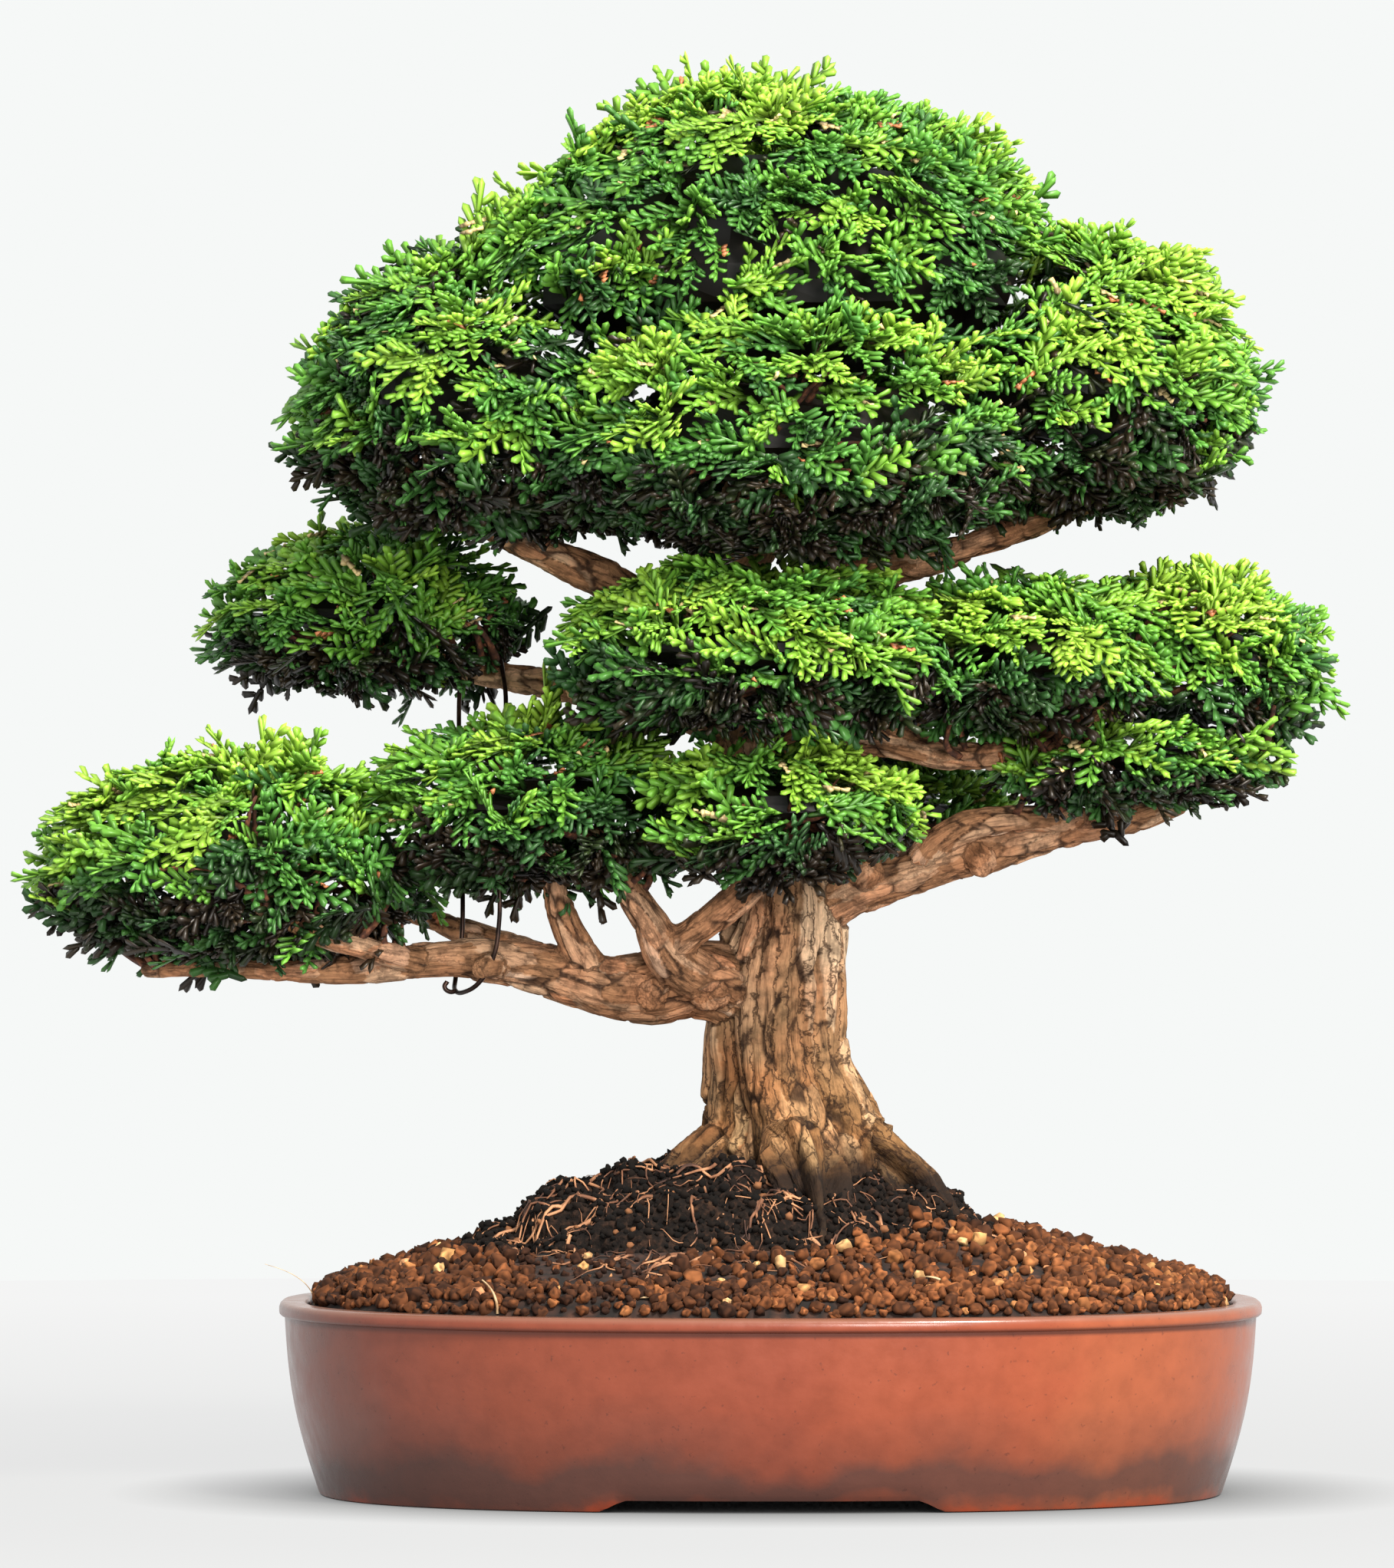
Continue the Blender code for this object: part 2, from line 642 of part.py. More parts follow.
def middle_of(pads):
    """The middle of the outline that the pads and the pot's rim make together."""
    found = [corners(pad) for pad in pads]
    found.append(((-RIM_HALF_X, -RIM_HALF_Y, 0), (RIM_HALF_X, RIM_HALF_Y, 0)))
    low = [min(pair[0][axis] for pair in found) for axis in (0, 1)]
    high = [max(pair[1][axis] for pair in found) for axis in (0, 1)]
    return Vector(((low[0] + high[0]) / 2, (low[1] + high[1]) / 2, 0))


# ---------------------------------------------------------------- assembly
for thing in list(bpy.data.objects):
    bpy.data.objects.remove(thing)

stand = bpy.data.objects.new("stand", None)
bpy.context.scene.collection.objects.link(stand)

make_pot()
drain_rooms = []
for hand in (-1, 1):
    drain_clip = make_clip(hand)
    finish(drain_clip.name, drain_clip, (0.45, 0.45, 0.47), 0.35, 1.0)
    clip_space = make_clip(hand, WIRE_GAP, helper=True)
    make_drain_mesh(hand, clip_space)
    drain_rooms += [clip_space, mesh_room(hand)]

tie_rooms = []
for tie_name, tie_x, tie_half_y, tie_top in (
    ("tie_wire_left", TIE_LEFT_X, TIE_LEFT_HALF_Y, TIE_LEFT_TOP),
    ("tie_wire_right", TIE_RIGHT_X, TIE_RIGHT_HALF_Y, TIE_RIGHT_TOP),
):
    tie_peak = POT_HEIGHT + tie_top
    tie = make_tie(tie_name, tie_x, tie_half_y, tie_peak)
    finish(tie_name, tie, (0.35, 0.33, 0.30), 0.4, 1.0)
    tie_rooms.append(make_tie(tie_name + "_room", tie_x, tie_half_y, tie_peak, WIRE_GAP, True))

make_wood()
wood_space = [tube(name + "_room", above_rim(LIMBS[name]), WOOD_GAP, helper=True) for name in LIMBS]
make_soil(wood_space, tie_rooms, drain_rooms)
guy = make_guy()
finish("guy_wire", guy, (0.03, 0.022, 0.02), 0.45, 0.6)
foliage = make_pads(wood_space, make_guy(WIRE_GAP, helper=True))

stand.location = -middle_of(foliage)
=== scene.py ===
import math
import random

import bmesh
import bpy
import numpy as np
from mathutils import Matrix, Vector, geometry, noise
from mathutils.bvhtree import BVHTree
from mathutils.kdtree import KDTree


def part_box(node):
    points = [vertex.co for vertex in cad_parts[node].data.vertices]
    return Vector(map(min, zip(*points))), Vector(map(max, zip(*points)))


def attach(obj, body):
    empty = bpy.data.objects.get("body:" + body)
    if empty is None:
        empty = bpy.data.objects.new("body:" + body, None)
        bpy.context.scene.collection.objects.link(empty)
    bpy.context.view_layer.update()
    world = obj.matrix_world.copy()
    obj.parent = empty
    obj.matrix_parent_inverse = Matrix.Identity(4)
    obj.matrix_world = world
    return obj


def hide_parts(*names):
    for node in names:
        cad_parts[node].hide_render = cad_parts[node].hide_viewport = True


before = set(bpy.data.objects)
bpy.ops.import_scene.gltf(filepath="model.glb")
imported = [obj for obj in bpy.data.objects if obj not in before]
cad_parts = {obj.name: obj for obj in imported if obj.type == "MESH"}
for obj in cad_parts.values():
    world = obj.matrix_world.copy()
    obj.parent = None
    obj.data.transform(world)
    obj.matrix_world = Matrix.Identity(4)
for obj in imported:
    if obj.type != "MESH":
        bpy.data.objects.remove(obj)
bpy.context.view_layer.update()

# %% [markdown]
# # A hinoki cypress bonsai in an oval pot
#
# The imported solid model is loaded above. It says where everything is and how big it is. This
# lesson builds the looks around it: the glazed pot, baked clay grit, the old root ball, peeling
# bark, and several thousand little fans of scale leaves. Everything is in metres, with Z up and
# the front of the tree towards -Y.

POT_LOW, POT_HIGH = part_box("pot")
POT_MIDDLE = (POT_LOW + POT_HIGH) / 2
RIM_MIDDLE = Vector((POT_MIDDLE.x, POT_MIDDLE.y, POT_HIGH.z))
MM = 0.001
print("pot's rim:", [round(value, 4) for value in RIM_MIDDLE])

# %% [markdown]
# ## Small helpers
#
# Colours are written as sRGB hex values, as a colour picker shows them, and turned into the
# linear values that the renderer needs. One function adds a node to a material with its
# settings, values and links, so that each material below reads as a list of steps.


# %% Colour, nodes and materials
def linear(code):
    """An sRGB hex colour as linear red, green, blue and alpha."""
    shares = [int(code[place : place + 2], 16) / 255 for place in (1, 3, 5)]
    return (*[s / 12.92 if s <= 0.04045 else ((s + 0.055) / 1.055) ** 2.4 for s in shares], 1.0)


def node(tree, kind, inputs=None, stops=None, **settings):
    """Adds a node with its settings, its input values or links, and the stops of its ramp."""
    made = tree.nodes.new(kind)
    for name, value in settings.items():
        setattr(made, name, value)
    if stops:
        elements = made.color_ramp.elements
        while len(elements) < len(stops):
            elements.new(0.5)
        for element, (place, colour) in zip(elements, stops):
            element.position = place
            element.color = linear(colour) if isinstance(colour, str) else (colour,) * 3 + (1,)
    for name, value in (inputs or {}).items():
        if isinstance(value, bpy.types.NodeSocket):
            tree.links.new(value, made.inputs[name])
        else:
            made.inputs[name].default_value = value
    return made


def new_material(name, values):
    """A material with these values on its surface shader. Gives it, its tree and that shader."""
    made = bpy.data.materials.new(name)
    made.use_nodes = True
    surface = made.node_tree.nodes["Principled BSDF"]
    for socket, value in values.items():
        surface.inputs[socket].default_value = value
    return made, made.node_tree, surface


def mixed(tree, share, first, second, blend="MIX"):
    """The colour between two colours or links."""
    made = node(tree, "ShaderNodeMix", {0: share, 6: first, 7: second}, data_type="RGBA")
    made.blend_type = blend
    return made.outputs[2]


# %% Pieces
def smoothed(shape):
    for face in shape.faces:
        face.smooth = True
    return shape


def piece_of(name, mesh, material, slot, *replaced):
    """A finished piece from a mesh: it rides on the tree and may stand for CAD nodes."""
    piece = bpy.data.objects.new(name, mesh)
    bpy.context.scene.collection.objects.link(piece)
    mesh.materials.clear()
    mesh.materials.append(material)
    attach(piece, "root")
    if replaced:
        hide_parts(*replaced)
    corners = sum(len(polygon.vertices) - 2 for polygon in mesh.polygons)
    print(name, "has", corners, "triangles")
    return piece


def mesh_of(name, shape):
    """A mesh from a bmesh, which is then gone."""
    mesh = bpy.data.meshes.new(name)
    shape.to_mesh(mesh)
    shape.free()
    return mesh


def evaluated(name, data, *modifiers):
    """A new mesh: a mesh or curve with these modifiers applied. Each is a type and its settings."""
    holder = bpy.data.objects.new(name, data)
    bpy.context.scene.collection.objects.link(holder)
    for kind, settings in modifiers:
        modifier = holder.modifiers.new(kind.title(), kind)
        for setting, value in settings.items():
            setattr(modifier, setting, value)
    bpy.context.view_layer.update()
    graph = bpy.context.evaluated_depsgraph_get()
    made = bpy.data.meshes.new_from_object(holder.evaluated_get(graph))
    bpy.data.objects.remove(holder)
    return made


def smoothstep(low, high, value):
    share = min(max((value - low) / (high - low), 0.0), 1.0)
    return share * share * (3 - 2 * share)


# %% [markdown]
# ## The pot
#
# A shallow stoneware pot for a bonsai is pressed in a plaster mould: an oval a little squarer
# than an ellipse, with walls that flare gently, a narrow rolled lip, and a foot ring cut away
# at the front and back for air and water. An oval ring of edges is extruded upwards level by
# level along the wall's profile, so the whole wall is one even skin. Plain holes are then cut
# in the floor with a Boolean.

# %% The pot's sizes
OVAL_POWER = 2.4
BASE_INSET = 0.0115
WALL_BULGE = 0.0022
WALL = 0.0065
LIP_WIDTH = 0.0085
LIP_HEIGHT = 0.0042
LIP_OVERHANG = 0.0016
FLOOR = 0.0065
FOOT_HEIGHT = 0.0042
FOOT_WIDTH = 0.0160
FOOT_EDGE = 0.0010
FOOT_GAP_HALF = 0.0500
FOOT_GAP_SLOPE = 0.0070
FOOT_GAP_HEIGHT = 0.0036
POT_SEGMENTS = 320
POT_HEIGHT = POT_HIGH.z - POT_LOW.z
HALF_X = (POT_HIGH.x - POT_LOW.x) / 2
HALF_Y = (POT_HIGH.y - POT_LOW.y) / 2
print("pot:", round(2 * HALF_X, 4), "by", round(2 * HALF_Y, 4), "by", round(POT_HEIGHT, 4))

# %% The wall's profile: how far in from the rim, and how high
lip_low = POT_HEIGHT - LIP_HEIGHT
profile = [
    (BASE_INSET + FOOT_WIDTH + FOOT_EDGE, FOOT_HEIGHT),
    (BASE_INSET + FOOT_WIDTH + 0.0002, 0.0005),
    (BASE_INSET + FOOT_WIDTH - 0.0006, 0),
    (BASE_INSET + 0.0014, 0),
    (BASE_INSET + 0.0003, 0.0004),
]
WALL_STEPS = 12
for step in range(WALL_STEPS + 1):
    share = step / WALL_STEPS
    inset = BASE_INSET * (1 - share) + LIP_OVERHANG * share - WALL_BULGE * math.sin(math.pi * share)
    profile.append((inset, FOOT_EDGE + (lip_low - FOOT_EDGE) * share))
profile += [
    (0.0006, lip_low + 0.0003),
    (0.0001, lip_low + 0.0008),
    (0, lip_low + 0.0015),
    (0, POT_HEIGHT - 0.0016),
    (0.0003, POT_HEIGHT - 0.0007),
    (0.0010, POT_HEIGHT - 0.0001),
    (0.0019, POT_HEIGHT),
    (LIP_WIDTH - 0.0016, POT_HEIGHT),
    (LIP_WIDTH - 0.0006, POT_HEIGHT - 0.0003),
    (LIP_WIDTH, POT_HEIGHT - 0.0012),
    (LIP_WIDTH + 0.0004, POT_HEIGHT - 0.006),
    (BASE_INSET + WALL - 0.0015, FOOT_HEIGHT + FLOOR + 0.004),
    (BASE_INSET + WALL + 0.002, FOOT_HEIGHT + FLOOR),
]
print(len(profile), "levels")

# %% The ring, extruded up the profile
shape = bmesh.new()
bmesh.ops.create_circle(shape, cap_ends=True, segments=POT_SEGMENTS, radius=1.0)
for vertex in shape.verts:
    for axis in (0, 1):
        size = abs(vertex.co[axis]) ** (2 / OVAL_POWER)
        vertex.co[axis] = math.copysign(size, vertex.co[axis])
half_x, half_y, level = 1.0, 1.0, 0.0
ring = list(shape.edges)
verts = list(shape.verts)
for inset, height in profile:
    grow = ((HALF_X - inset) / half_x, (HALF_Y - inset) / half_y, 1)
    bmesh.ops.scale(shape, vec=grow, verts=verts)
    bmesh.ops.translate(shape, vec=(0, 0, height - level), verts=verts)
    half_x, half_y, level = HALF_X - inset, HALF_Y - inset, height
    if (inset, height) != profile[-1]:
        pushed = bmesh.ops.extrude_edge_only(shape, edges=ring)["geom"]
        ring = [item for item in pushed if isinstance(item, bmesh.types.BMEdge)]
        verts = [item for item in pushed if isinstance(item, bmesh.types.BMVert)]
bmesh.ops.contextual_create(shape, geom=ring)
for vertex in shape.verts:
    gap = FOOT_GAP_HEIGHT * min(max((FOOT_GAP_HALF - abs(vertex.co.x)) / FOOT_GAP_SLOPE, 0), 1)
    if vertex.co.z < min(gap, 0.0025):
        vertex.co.z = gap
bmesh.ops.recalc_face_normals(shape, faces=shape.faces)
bmesh.ops.translate(shape, vec=(POT_MIDDLE.x, POT_MIDDLE.y, POT_LOW.z), verts=shape.verts)
print("pot skin:", len(shape.faces), "faces")

# %% The drainage and tie-wire holes
HOLES = (
    (-0.066, 0, 0.0100),
    (0.066, 0, 0.0100),
    (-0.052, -0.050, 0.0018),
    (-0.052, 0.050, 0.0018),
    (0.062, -0.045, 0.0018),
    (0.062, 0.045, 0.0018),
)
pegs = bmesh.new()
for x, y, radius in HOLES:
    place = Matrix.Translation((POT_MIDDLE.x + x, POT_MIDDLE.y + y, 0.010))
    bmesh.ops.create_cone(
        pegs, cap_ends=True, segments=48, radius1=radius, radius2=radius, depth=0.03, matrix=place
    )
cutter = bpy.data.objects.new("hole_pegs", mesh_of("hole_pegs", pegs))
bpy.context.scene.collection.objects.link(cutter)
cut = ("BOOLEAN", {"object": cutter, "operation": "DIFFERENCE", "solver": "EXACT"})
pot_mesh = evaluated("pot_cut", mesh_of("pot_skin", shape), cut)
bpy.data.objects.remove(cutter)
pot_mesh.shade_smooth()
pot_mesh.set_sharp_from_angle(angle=math.radians(40))
print("pot with holes:", len(pot_mesh.polygons), "faces")

# %% [markdown]
# ## Glazed stoneware
#
# The pot was dipped in an iron glaze and wiped at the foot. Its colour drifts in cloudy patches
# from purple brown at the left end to orange at the right, and the darker left end and brighter
# right end are painted shade and painted light, as if lit from the right front. It pooled dark
# and greenish low on the wall, and the bare clay of the foot fired orange red. A glaze is glass
# on clay: IOR about 1.5 and a low roughness, a little uneven. The patterns read Object
# coordinates, moved to the pot's middle, so their scales are real millimetres.

# %% The glaze
glaze, tree, surface = new_material(
    "iron_glaze_on_stoneware", {"IOR": 1.45, "Coat Weight": 0.3, "Coat Roughness": 0.16, "Specular IOR Level": 0.3}
)
coords = node(tree, "ShaderNodeTexCoord")
place = node(
    tree,
    "ShaderNodeMapping",
    {"Vector": coords.outputs["Object"], "Location": -Vector((POT_MIDDLE.x, POT_MIDDLE.y, 0))},
)
axes = node(tree, "ShaderNodeSeparateXYZ", {0: place.outputs[0]})
clouds = node(
    tree, "ShaderNodeTexNoise", {"Vector": place.outputs[0], "Scale": 1 / (42 * MM), "Detail": 5}
)
along = node(
    tree,
    "ShaderNodeMapRange",
    {"Value": axes.outputs["X"], "From Min": -HALF_X, "From Max": HALF_X},
)
drift = node(
    tree,
    "ShaderNodeMath",
    {0: clouds.outputs[0], 1: 0.34, 2: along.outputs[0]},
    operation="MULTIPLY_ADD",
)
# Dark purple brown at the left end to brighter orange at the right: the glaze's own drift, with painted shade at the
# left end and painted light at the right.
glaze_drift_and_painted_light = node(
    tree,
    "ShaderNodeValToRGB",
    {0: drift.outputs[0]},
    stops=(
        (0.14, "#6F473D"),
        (0.24, "#753C2D"),
        (0.40, "#773926"),
        (0.70, "#7E3B27"),
        (0.92, "#8B4329"),
        (1.0, "#904B2E"),
    ),
)
mottle = node(
    tree, "ShaderNodeTexNoise", {"Vector": place.outputs[0], "Scale": 1 / (7 * MM), "Detail": 7}
)
mottle_shade = node(
    tree, "ShaderNodeValToRGB", {0: mottle.outputs[0]}, stops=((0.3, 0.88), (0.52, 1.0), (0.7, 1.07))
)
body = mixed(tree, 1.0, glaze_drift_and_painted_light.outputs[0], mottle_shade.outputs[0], "MULTIPLY")
print("glaze: base colours")

# %% The dark pool low on the wall, specks, lip and foot
edge_noise = node(
    tree, "ShaderNodeTexNoise", {"Vector": place.outputs[0], "Scale": 1 / (30 * MM), "Detail": 6}
)
height = node(
    tree,
    "ShaderNodeMath",
    {0: edge_noise.outputs[0], 1: 0.030, 2: axes.outputs["Z"]},
    operation="MULTIPLY_ADD",
)
pool = node(
    tree,
    "ShaderNodeValToRGB",
    {0: node(tree, "ShaderNodeMath", {0: height.outputs[0], 1: 20.0}, operation="MULTIPLY").outputs[0]},
    stops=((0.26, 0.0), (0.40, 0.72), (0.52, 0.74), (0.66, 0.26), (0.92, 0.0)),
)
pooled = mixed(tree, pool.outputs[0], body, linear("#3A2F2C"))
specks = node(
    tree, "ShaderNodeTexNoise", {"Vector": place.outputs[0], "Scale": 1 / (1.6 * MM), "Detail": 2}
)
speck_mask = node(
    tree, "ShaderNodeValToRGB", {0: specks.outputs[0]}, stops=((0.68, 0.0), (0.74, 0.4))
)
speckled = mixed(tree, speck_mask.outputs[0], pooled, linear("#3A211C"))
band = node(
    tree,
    "ShaderNodeMath",
    {0: axes.outputs["Z"], 1: 1 / POT_HEIGHT},
    operation="MULTIPLY",
)
# A darker line just under the lip, in the recess beneath its overhang, is painted shadow.
lip_painted_shadow = node(
    tree,
    "ShaderNodeValToRGB",
    {0: band.outputs[0]},
    stops=((0.895, 0.0), (0.915, 0.6), (0.93, 0.5), (0.945, 0.0)),
)
shadowed_under_lip = mixed(tree, lip_painted_shadow.outputs[0], speckled, linear("#44251F"))
lip_top = node(
    tree, "ShaderNodeValToRGB", {0: band.outputs[0]}, stops=((0.965, 0.0), (0.995, 0.75))
)
lipped = mixed(tree, lip_top.outputs[0], shadowed_under_lip, linear("#755344"))
foot = node(
    tree,
    "ShaderNodeValToRGB",
    {0: node(tree, "ShaderNodeMath", {0: height.outputs[0], 1: 20.0}, operation="MULTIPLY").outputs[0]},
    stops=((0.26, 0.95), (0.34, 0.0)),
)
footed = mixed(tree, foot.outputs[0], lipped, linear("#96391B"))
tree.links.new(footed, surface.inputs["Base Color"])
gloss = node(
    tree, "ShaderNodeValToRGB", {0: mottle.outputs[0]}, stops=((0.3, 0.24), (0.7, 0.40))
)
tree.links.new(gloss.outputs[0], surface.inputs["Roughness"])
orange_peel = node(
    tree, "ShaderNodeTexNoise", {"Vector": place.outputs[0], "Scale": 1 / (3.5 * MM), "Detail": 4}
)
bump = node(
    tree,
    "ShaderNodeBump",
    {"Strength": 0.25, "Distance": 0.0004, "Height": orange_peel.outputs[0]},
)
tree.links.new(bump.outputs[0], surface.inputs["Normal"])
piece_of("pot_body", pot_mesh, glaze, "glazed_stoneware", "pot")

# %% [markdown]
# ## The wood
#
# Trunk, roots and branches grew as one body. Each limb is one curve through measured points,
# thick where it is old, and a voxel remesh melts them together with soft crotches, as wood
# grows. The points are metres from the pot's middle, with heights above its rim.

# %% The limbs: x, y, height above the rim, radius
LIMBS = {
    "trunk": (
        (0.0090, 0.004, 0.0055, 0.0350),
        (0.0090, 0.004, 0.0315, 0.0330),
        (0.0065, 0.003, 0.0505, 0.0262),
        (0.0030, 0.002, 0.0695, 0.0210),
        (0.0030, 0.001, 0.0945, 0.0200),
        (0.0055, 0.000, 0.1175, 0.0162),
        (0.0010, 0.002, 0.1405, 0.0135),
        (-0.0050, 0.004, 0.1635, 0.0112),
        (-0.0120, 0.004, 0.1935, 0.0095),
        (-0.0100, 0.002, 0.2235, 0.0075),
        (0.0000, 0.000, 0.2585, 0.0050),
        (0.0060, 0.000, 0.2915, 0.0030),
    ),
    "root_right": (
        (0.018, -0.004, 0.0475, 0.0140),
        (0.036, -0.008, 0.0355, 0.0105),
        (0.0485, -0.012, 0.0215, 0.0070),
    ),
    "root_left": (
        (-0.006, -0.004, 0.0455, 0.0130),
        (-0.022, -0.010, 0.0335, 0.0090),
        (-0.034, -0.018, 0.0205, 0.0055),
    ),
    "root_front": (
        (0.008, -0.014, 0.0435, 0.0140),
        (0.012, -0.033, 0.0295, 0.0090),
        (0.014, -0.046, 0.0135, 0.0050),
    ),
    "root_back": (
        (0.010, 0.018, 0.0435, 0.0140),
        (0.018, 0.038, 0.0295, 0.0090),
        (0.024, 0.052, 0.0115, 0.0050),
    ),
    "low_left": (
        (0.000, -0.002, 0.0875, 0.0130),
        (-0.020, -0.006, 0.0945, 0.0118),
        (-0.041, -0.010, 0.0920, 0.0100),
        (-0.062, -0.014, 0.0965, 0.0078),
        (-0.082, -0.016, 0.1005, 0.0062),
        (-0.106, -0.018, 0.1000, 0.0050),
        (-0.130, -0.018, 0.0975, 0.0042),
        (-0.160, -0.016, 0.0980, 0.0030),
        (-0.184, -0.012, 0.0975, 0.0018),
    ),
    "low_left_front": (
        (-0.100, -0.018, 0.1000, 0.0040),
        (-0.126, -0.036, 0.1065, 0.0032),
        (-0.150, -0.046, 0.1155, 0.0020),
    ),
    "low_left_back": (
        (-0.056, -0.012, 0.0965, 0.0055),
        (-0.088, 0.012, 0.1075, 0.0038),
        (-0.124, 0.024, 0.1185, 0.0022),
    ),
    "low_left_riser": (
        (-0.050, -0.011, 0.0935, 0.0065),
        (-0.060, -0.021, 0.1105, 0.0045),
        (-0.066, -0.026, 0.1335, 0.0028),
    ),
    "fork_left": (
        (-0.014, -0.010, 0.0925, 0.0085),
        (-0.028, -0.021, 0.1005, 0.0070),
        (-0.036, -0.026, 0.1125, 0.0052),
        (-0.046, -0.030, 0.1295, 0.0040),
        (-0.050, -0.034, 0.1435, 0.0026),
    ),
    "fork_right": (
        (-0.030, -0.022, 0.1035, 0.0052),
        (-0.016, -0.030, 0.1135, 0.0048),
        (-0.004, -0.038, 0.1255, 0.0040),
        (0.004, -0.048, 0.1405, 0.0028),
    ),
    "low_right": (
        (0.004, 0.000, 0.1095, 0.0120),
        (0.022, -0.004, 0.1200, 0.0085),
        (0.042, -0.008, 0.1265, 0.0072),
        (0.061, -0.010, 0.1315, 0.0062),
        (0.084, -0.011, 0.1375, 0.0052),
        (0.106, -0.011, 0.1420, 0.0044),
        (0.126, -0.008, 0.1495, 0.0034),
        (0.144, -0.004, 0.1565, 0.0022),
    ),
    "low_right_upper": (
        (0.042, -0.009, 0.1265, 0.0050),
        (0.052, -0.015, 0.1375, 0.0046),
        (0.068, -0.018, 0.1420, 0.0042),
        (0.092, -0.013, 0.1415, 0.0036),
    ),
    "mid_right": (
        (-0.004, 0.002, 0.1575, 0.0085),
        (0.012, -0.008, 0.1650, 0.0065),
        (0.033, -0.014, 0.1650, 0.0052),
        (0.058, -0.020, 0.1600, 0.0042),
        (0.078, -0.022, 0.1635, 0.0034),
        (0.112, -0.016, 0.1815, 0.0020),
    ),
    "mid_front": (
        (-0.006, 0.002, 0.1695, 0.0065),
        (-0.004, -0.018, 0.1745, 0.0050),
        (0.004, -0.036, 0.1795, 0.0038),
        (0.008, -0.054, 0.1855, 0.0024),
    ),
    "mid_left": (
        (-0.006, 0.004, 0.1675, 0.0080),
        (-0.030, 0.016, 0.1745, 0.0060),
        (-0.060, 0.030, 0.1805, 0.0050),
        (-0.090, 0.040, 0.1855, 0.0038),
        (-0.124, 0.045, 0.1935, 0.0024),
    ),
    "crown_left": (
        (-0.011, 0.004, 0.1875, 0.0080),
        (-0.030, 0.002, 0.2015, 0.0065),
        (-0.050, -0.002, 0.2125, 0.0058),
        (-0.076, -0.006, 0.2245, 0.0046),
        (-0.104, -0.008, 0.2395, 0.0028),
    ),
    "crown_right": (
        (-0.011, 0.002, 0.1975, 0.0075),
        (0.014, 0.004, 0.2095, 0.0060),
        (0.056, 0.002, 0.2210, 0.0048),
        (0.086, 0.000, 0.2315, 0.0036),
        (0.118, -0.002, 0.2435, 0.0022),
    ),
    "crown_front": (
        (-0.010, 0.002, 0.2135, 0.0065),
        (0.000, -0.024, 0.2275, 0.0048),
        (0.006, -0.052, 0.2395, 0.0034),
        (0.008, -0.078, 0.2495, 0.0020),
    ),
    "crown_back": (
        (-0.010, 0.002, 0.2175, 0.0065),
        (-0.006, 0.028, 0.2295, 0.0048),
        (-0.002, 0.054, 0.2415, 0.0034),
        (0.000, 0.080, 0.2515, 0.0020),
    ),
    "low_back": (
        (0.004, 0.002, 0.1175, 0.0090),
        (0.012, 0.026, 0.1255, 0.0062),
        (0.018, 0.050, 0.1295, 0.0050),
        (0.022, 0.080, 0.1355, 0.0030),
    ),
    "mid_back": (
        (-0.003, 0.003, 0.1535, 0.0075),
        (0.020, 0.026, 0.1635, 0.0050),
        (0.044, 0.052, 0.1715, 0.0038),
        (0.060, 0.078, 0.1815, 0.0024),
    ),
}

# %% Short pruned stubs and knots, in the same way
STUBS = (
    ((-0.0800, -0.0180, 0.0990, 0.0042), (-0.0835, -0.0250, 0.0985, 0.0036), (-0.0850, -0.0290, 0.0982, 0.0031)),
    ((-0.0520, 0.0180, 0.1790, 0.0042), (-0.0560, 0.0120, 0.1795, 0.0036), (-0.0575, 0.0085, 0.1795, 0.0034)),
    ((-0.0330, -0.0080, 0.0930, 0.0060), (-0.0345, -0.0170, 0.0905, 0.0048), (-0.0350, -0.0205, 0.0895, 0.0042)),
    ((0.0600, -0.0120, 0.1310, 0.0048), (0.0620, -0.0180, 0.1290, 0.0040), (0.0630, -0.0205, 0.1282, 0.0034)),
    ((0.0260, -0.0070, 0.1230, 0.0050), (0.0285, -0.0140, 0.1262, 0.0040), (0.0300, -0.0175, 0.1280, 0.0033)),
    ((-0.0180, -0.0080, 0.0930, 0.0080), (-0.0175, -0.0170, 0.0905, 0.0062), (-0.0172, -0.0195, 0.0895, 0.0050)),
)
CUT_ENDS = [RIM_MIDDLE + Vector(stub[-1][:3]) for stub in STUBS[1:2]]
routes = list(LIMBS.values()) + list(STUBS)
print(len(LIMBS), "limbs and", len(STUBS), "stubs")


# %% Curves through the points
def curve_through(name, routes, facets, steps, ring=False, caps=True):
    """One curve of round tubes. Each route is points of x, y, height above the rim and radius."""
    curve = bpy.data.curves.new(name, "CURVE")
    curve.dimensions = "3D"
    curve.bevel_depth = 1.0
    curve.bevel_resolution = facets
    curve.use_fill_caps = caps and not ring
    curve.resolution_u = steps
    for route in routes:
        spline = curve.splines.new("BEZIER")
        spline.use_cyclic_u = ring
        spline.bezier_points.add(len(route) - 1)
        for knot, (x, y, up, radius) in zip(spline.bezier_points, route):
            knot.co = RIM_MIDDLE + Vector((x, y, up))
            knot.radius = radius
            knot.handle_left_type = "AUTO"
            knot.handle_right_type = "AUTO"
    return curve


def centreline(curve, steps):
    """Where each limb's middle runs: places, radii, directions, turning frames and lengths."""
    rows = []
    for number, spline in enumerate(curve.splines):
        knots = spline.bezier_points
        across, run = None, 0.0
        for one, two in zip(knots, list(knots)[1:]):
            bend = geometry.interpolate_bezier(
                one.co, one.handle_right, two.handle_left, two.co, steps + 1
            )
            for step, (here, there) in enumerate(zip(bend, bend[1:])):
                way = (there - here).normalized()
                if across is None:
                    across = way.orthogonal().normalized()
                across = (across - way * across.dot(way)).normalized()
                share = step / steps
                radius = one.radius * (1 - share) + two.radius * share
                rows.append((*here, radius, *way, *across, *way.cross(across), run, number))
                run += (there - here).length
    return np.array(rows)


